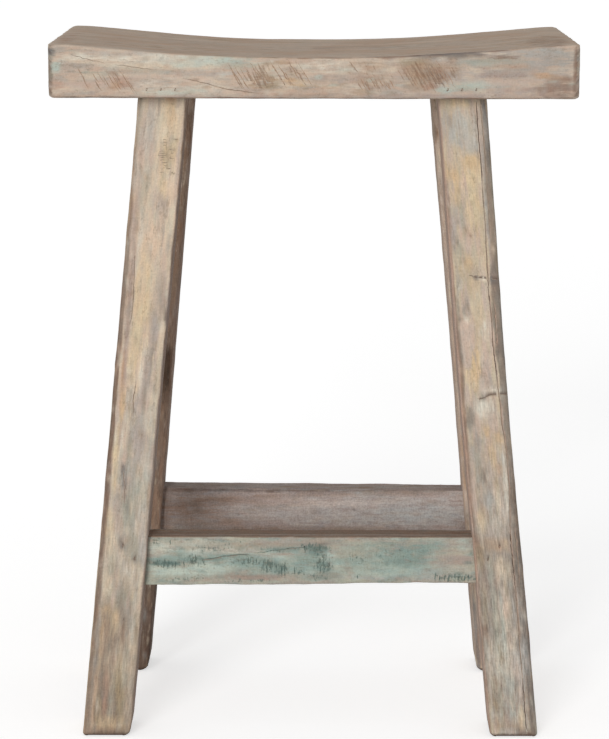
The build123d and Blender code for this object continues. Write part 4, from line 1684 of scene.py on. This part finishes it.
sawn = {
    "seat": {
        "front": [
            (0.5, -203, 632, 8, 13), (0.6, -181, 630, 12, 14), (0.85, -48, 631, 18, 15),
            (0.65, -14, 634, 14, 14), (0.5, 40, 641, 10, 7), (0.6, 60, 628, 18, 13),
            (0.85, 104, 633, 24, 17), (0.7, 125, 638, 10, 10),
        ],
        "rear": [(0.7, -120, 630, 40, 17), (0.6, 40, 634, 30, 14), (0.8, 170, 628, 30, 16)],
    },
}
dabs = {
    "front_rail": {
        "front": [
            (0.9, -140, 168, 17, 5), (0.8, -112, 171, 13, 6), (0.6, -95, 183, 24, 5),
            (0.7, -60, 170, 24, 6), (0.5, -70, 188, 30, 3), (0.9, -42, 165, 9, 8), (0.9, -27, 163, 8, 9),
            (0.7, -12, 160, 9, 6), (0.5, -35, 181, 30, 4), (0.9, 2, 183, 18, 6), (0.7, 10, 174, 10, 8),
            (0.8, 12, 165, 10, 9), (0.7, 6, 155, 12, 5), (0.5, 42, 172, 14, 8), (0.6, 44, 156, 5, 3),
            (0.35, 84, 176, 34, 12), (0.9, 136, 154, 22, 5), (0.6, -120, 152, 30, 3),
            (0.6, -60, 151, 30, 3), (0.7, -146, 189, 6, 4),
        ],
    },
}
planed = {"seat": {"top": [(1.0, 0, 0, 600, 300)]}}
endGrain = {"seat": {"left": [(1.0, 0, 636, 400, 100)], "right": [(1.0, 0, 636, 400, 100)]}}
for nodeName in legSides:
    endGrain[nodeName] = {"bottom": [(1.0, 0, 0, 60, 60)]}
    # the soles are painted dark as painted contact shade at the floor
    paint.setdefault(nodeName, {})["bottom"] = [("dark", 0.85, 0, 0, 60, 60)]

outer = "legs legFlecks"
inner = "bareBoards bareFlecks"
sideOn = "seat seatFlecks"
strays = {
    "seat": {
        "front": "seatFront seatFlecks",
        "rear": sideOn,
        "left": sideOn,
        "right": sideOn,
        "top": "seatTop topFlecks",
        "bottom": inner,
    },
    "front_left_leg": {"front": "painted legFlecks", "left": outer, "rear": outer, "right": inner},
    "front_right_leg": {"front": "painted legFlecks", "left": inner, "rear": outer, "right": outer},
    "rear_left_leg": {"front": inner, "left": outer, "rear": outer, "right": inner},
    "rear_right_leg": {"front": inner, "left": inner, "rear": outer, "right": outer},
    "front_rail": {
        "front": "frontRail railFlecks",
        "rear": inner,
        "top": "bareFlecks",
        "bottom": "bareBoards",
    },
    "rear_rail": {"front": inner, "rear": "frontRail railFlecks", "top": inner},
    "left_rail": {"left": outer, "right": inner, "top": inner},
    "right_rail": {"left": inner, "right": outer, "top": inner},
}
grooves = {"split": splits, "crease": creases, "saw": saws, "slit": slits}
brushMarks = {"bare": bare, "sawn": sawn, "dabs": dabs, "planed": planed, "endGrain": endGrain}

for nodeName, board in boards.items():
    board.data.materials.append(wornTimber(nodeName + "_finish", looks[nodeName]))
    before = len(board.data.polygons)
    for kind, cuts in grooves.items():
        if nodeName in cuts:
            cutGrooves(board, nodeName, kind, cuts[nodeName])
    for pinNode, axis in slotCuts.get(nodeName, ()):
        cutSlots(board, pinNode, axis)
    if len(board.data.materials) > 1:
        sharpenRims(board)
    board.data.attributes.new("boardPlace", "FLOAT_VECTOR", "POINT")
    grain = grainPlaces(nodeName, vertexPlaces(board))
    board.data.attributes["boardPlace"].data.foreach_set("vector", grain.astype(np.float32).ravel())
    strokes = {face: list(made) for face, made in paint.get(nodeName, {}).items()}
    for face, kinds in strays[nodeName].items():
        first, *more = [strayStrokes(nodeName, face, kind) for kind in kinds.split()]
        strokes[face] = first + strokes.get(face, []) + sum(more, [])
    paintBoard(board, nodeName, strokes)
    for markName, marks in brushMarks.items():
        setValue(board, markName, brushMark(board, nodeName, marks.get(nodeName, {})))
    shadeBoard(board)
    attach(board, "root")
    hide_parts(nodeName)
    print(nodeName, "cut and painted:", before, "to", len(board.data.polygons), "faces")

for pinNode in ("front_seat_pins", "rear_seat_pins", "front_rail_pins", "rear_rail_pins", "side_rail_pins"):
    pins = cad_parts[pinNode]
    if not pins.material_slots:
        pins.data.materials.append(None)
    for pinSlot in pins.material_slots:
        pinSlot.material = bradRust
print("finishes made")
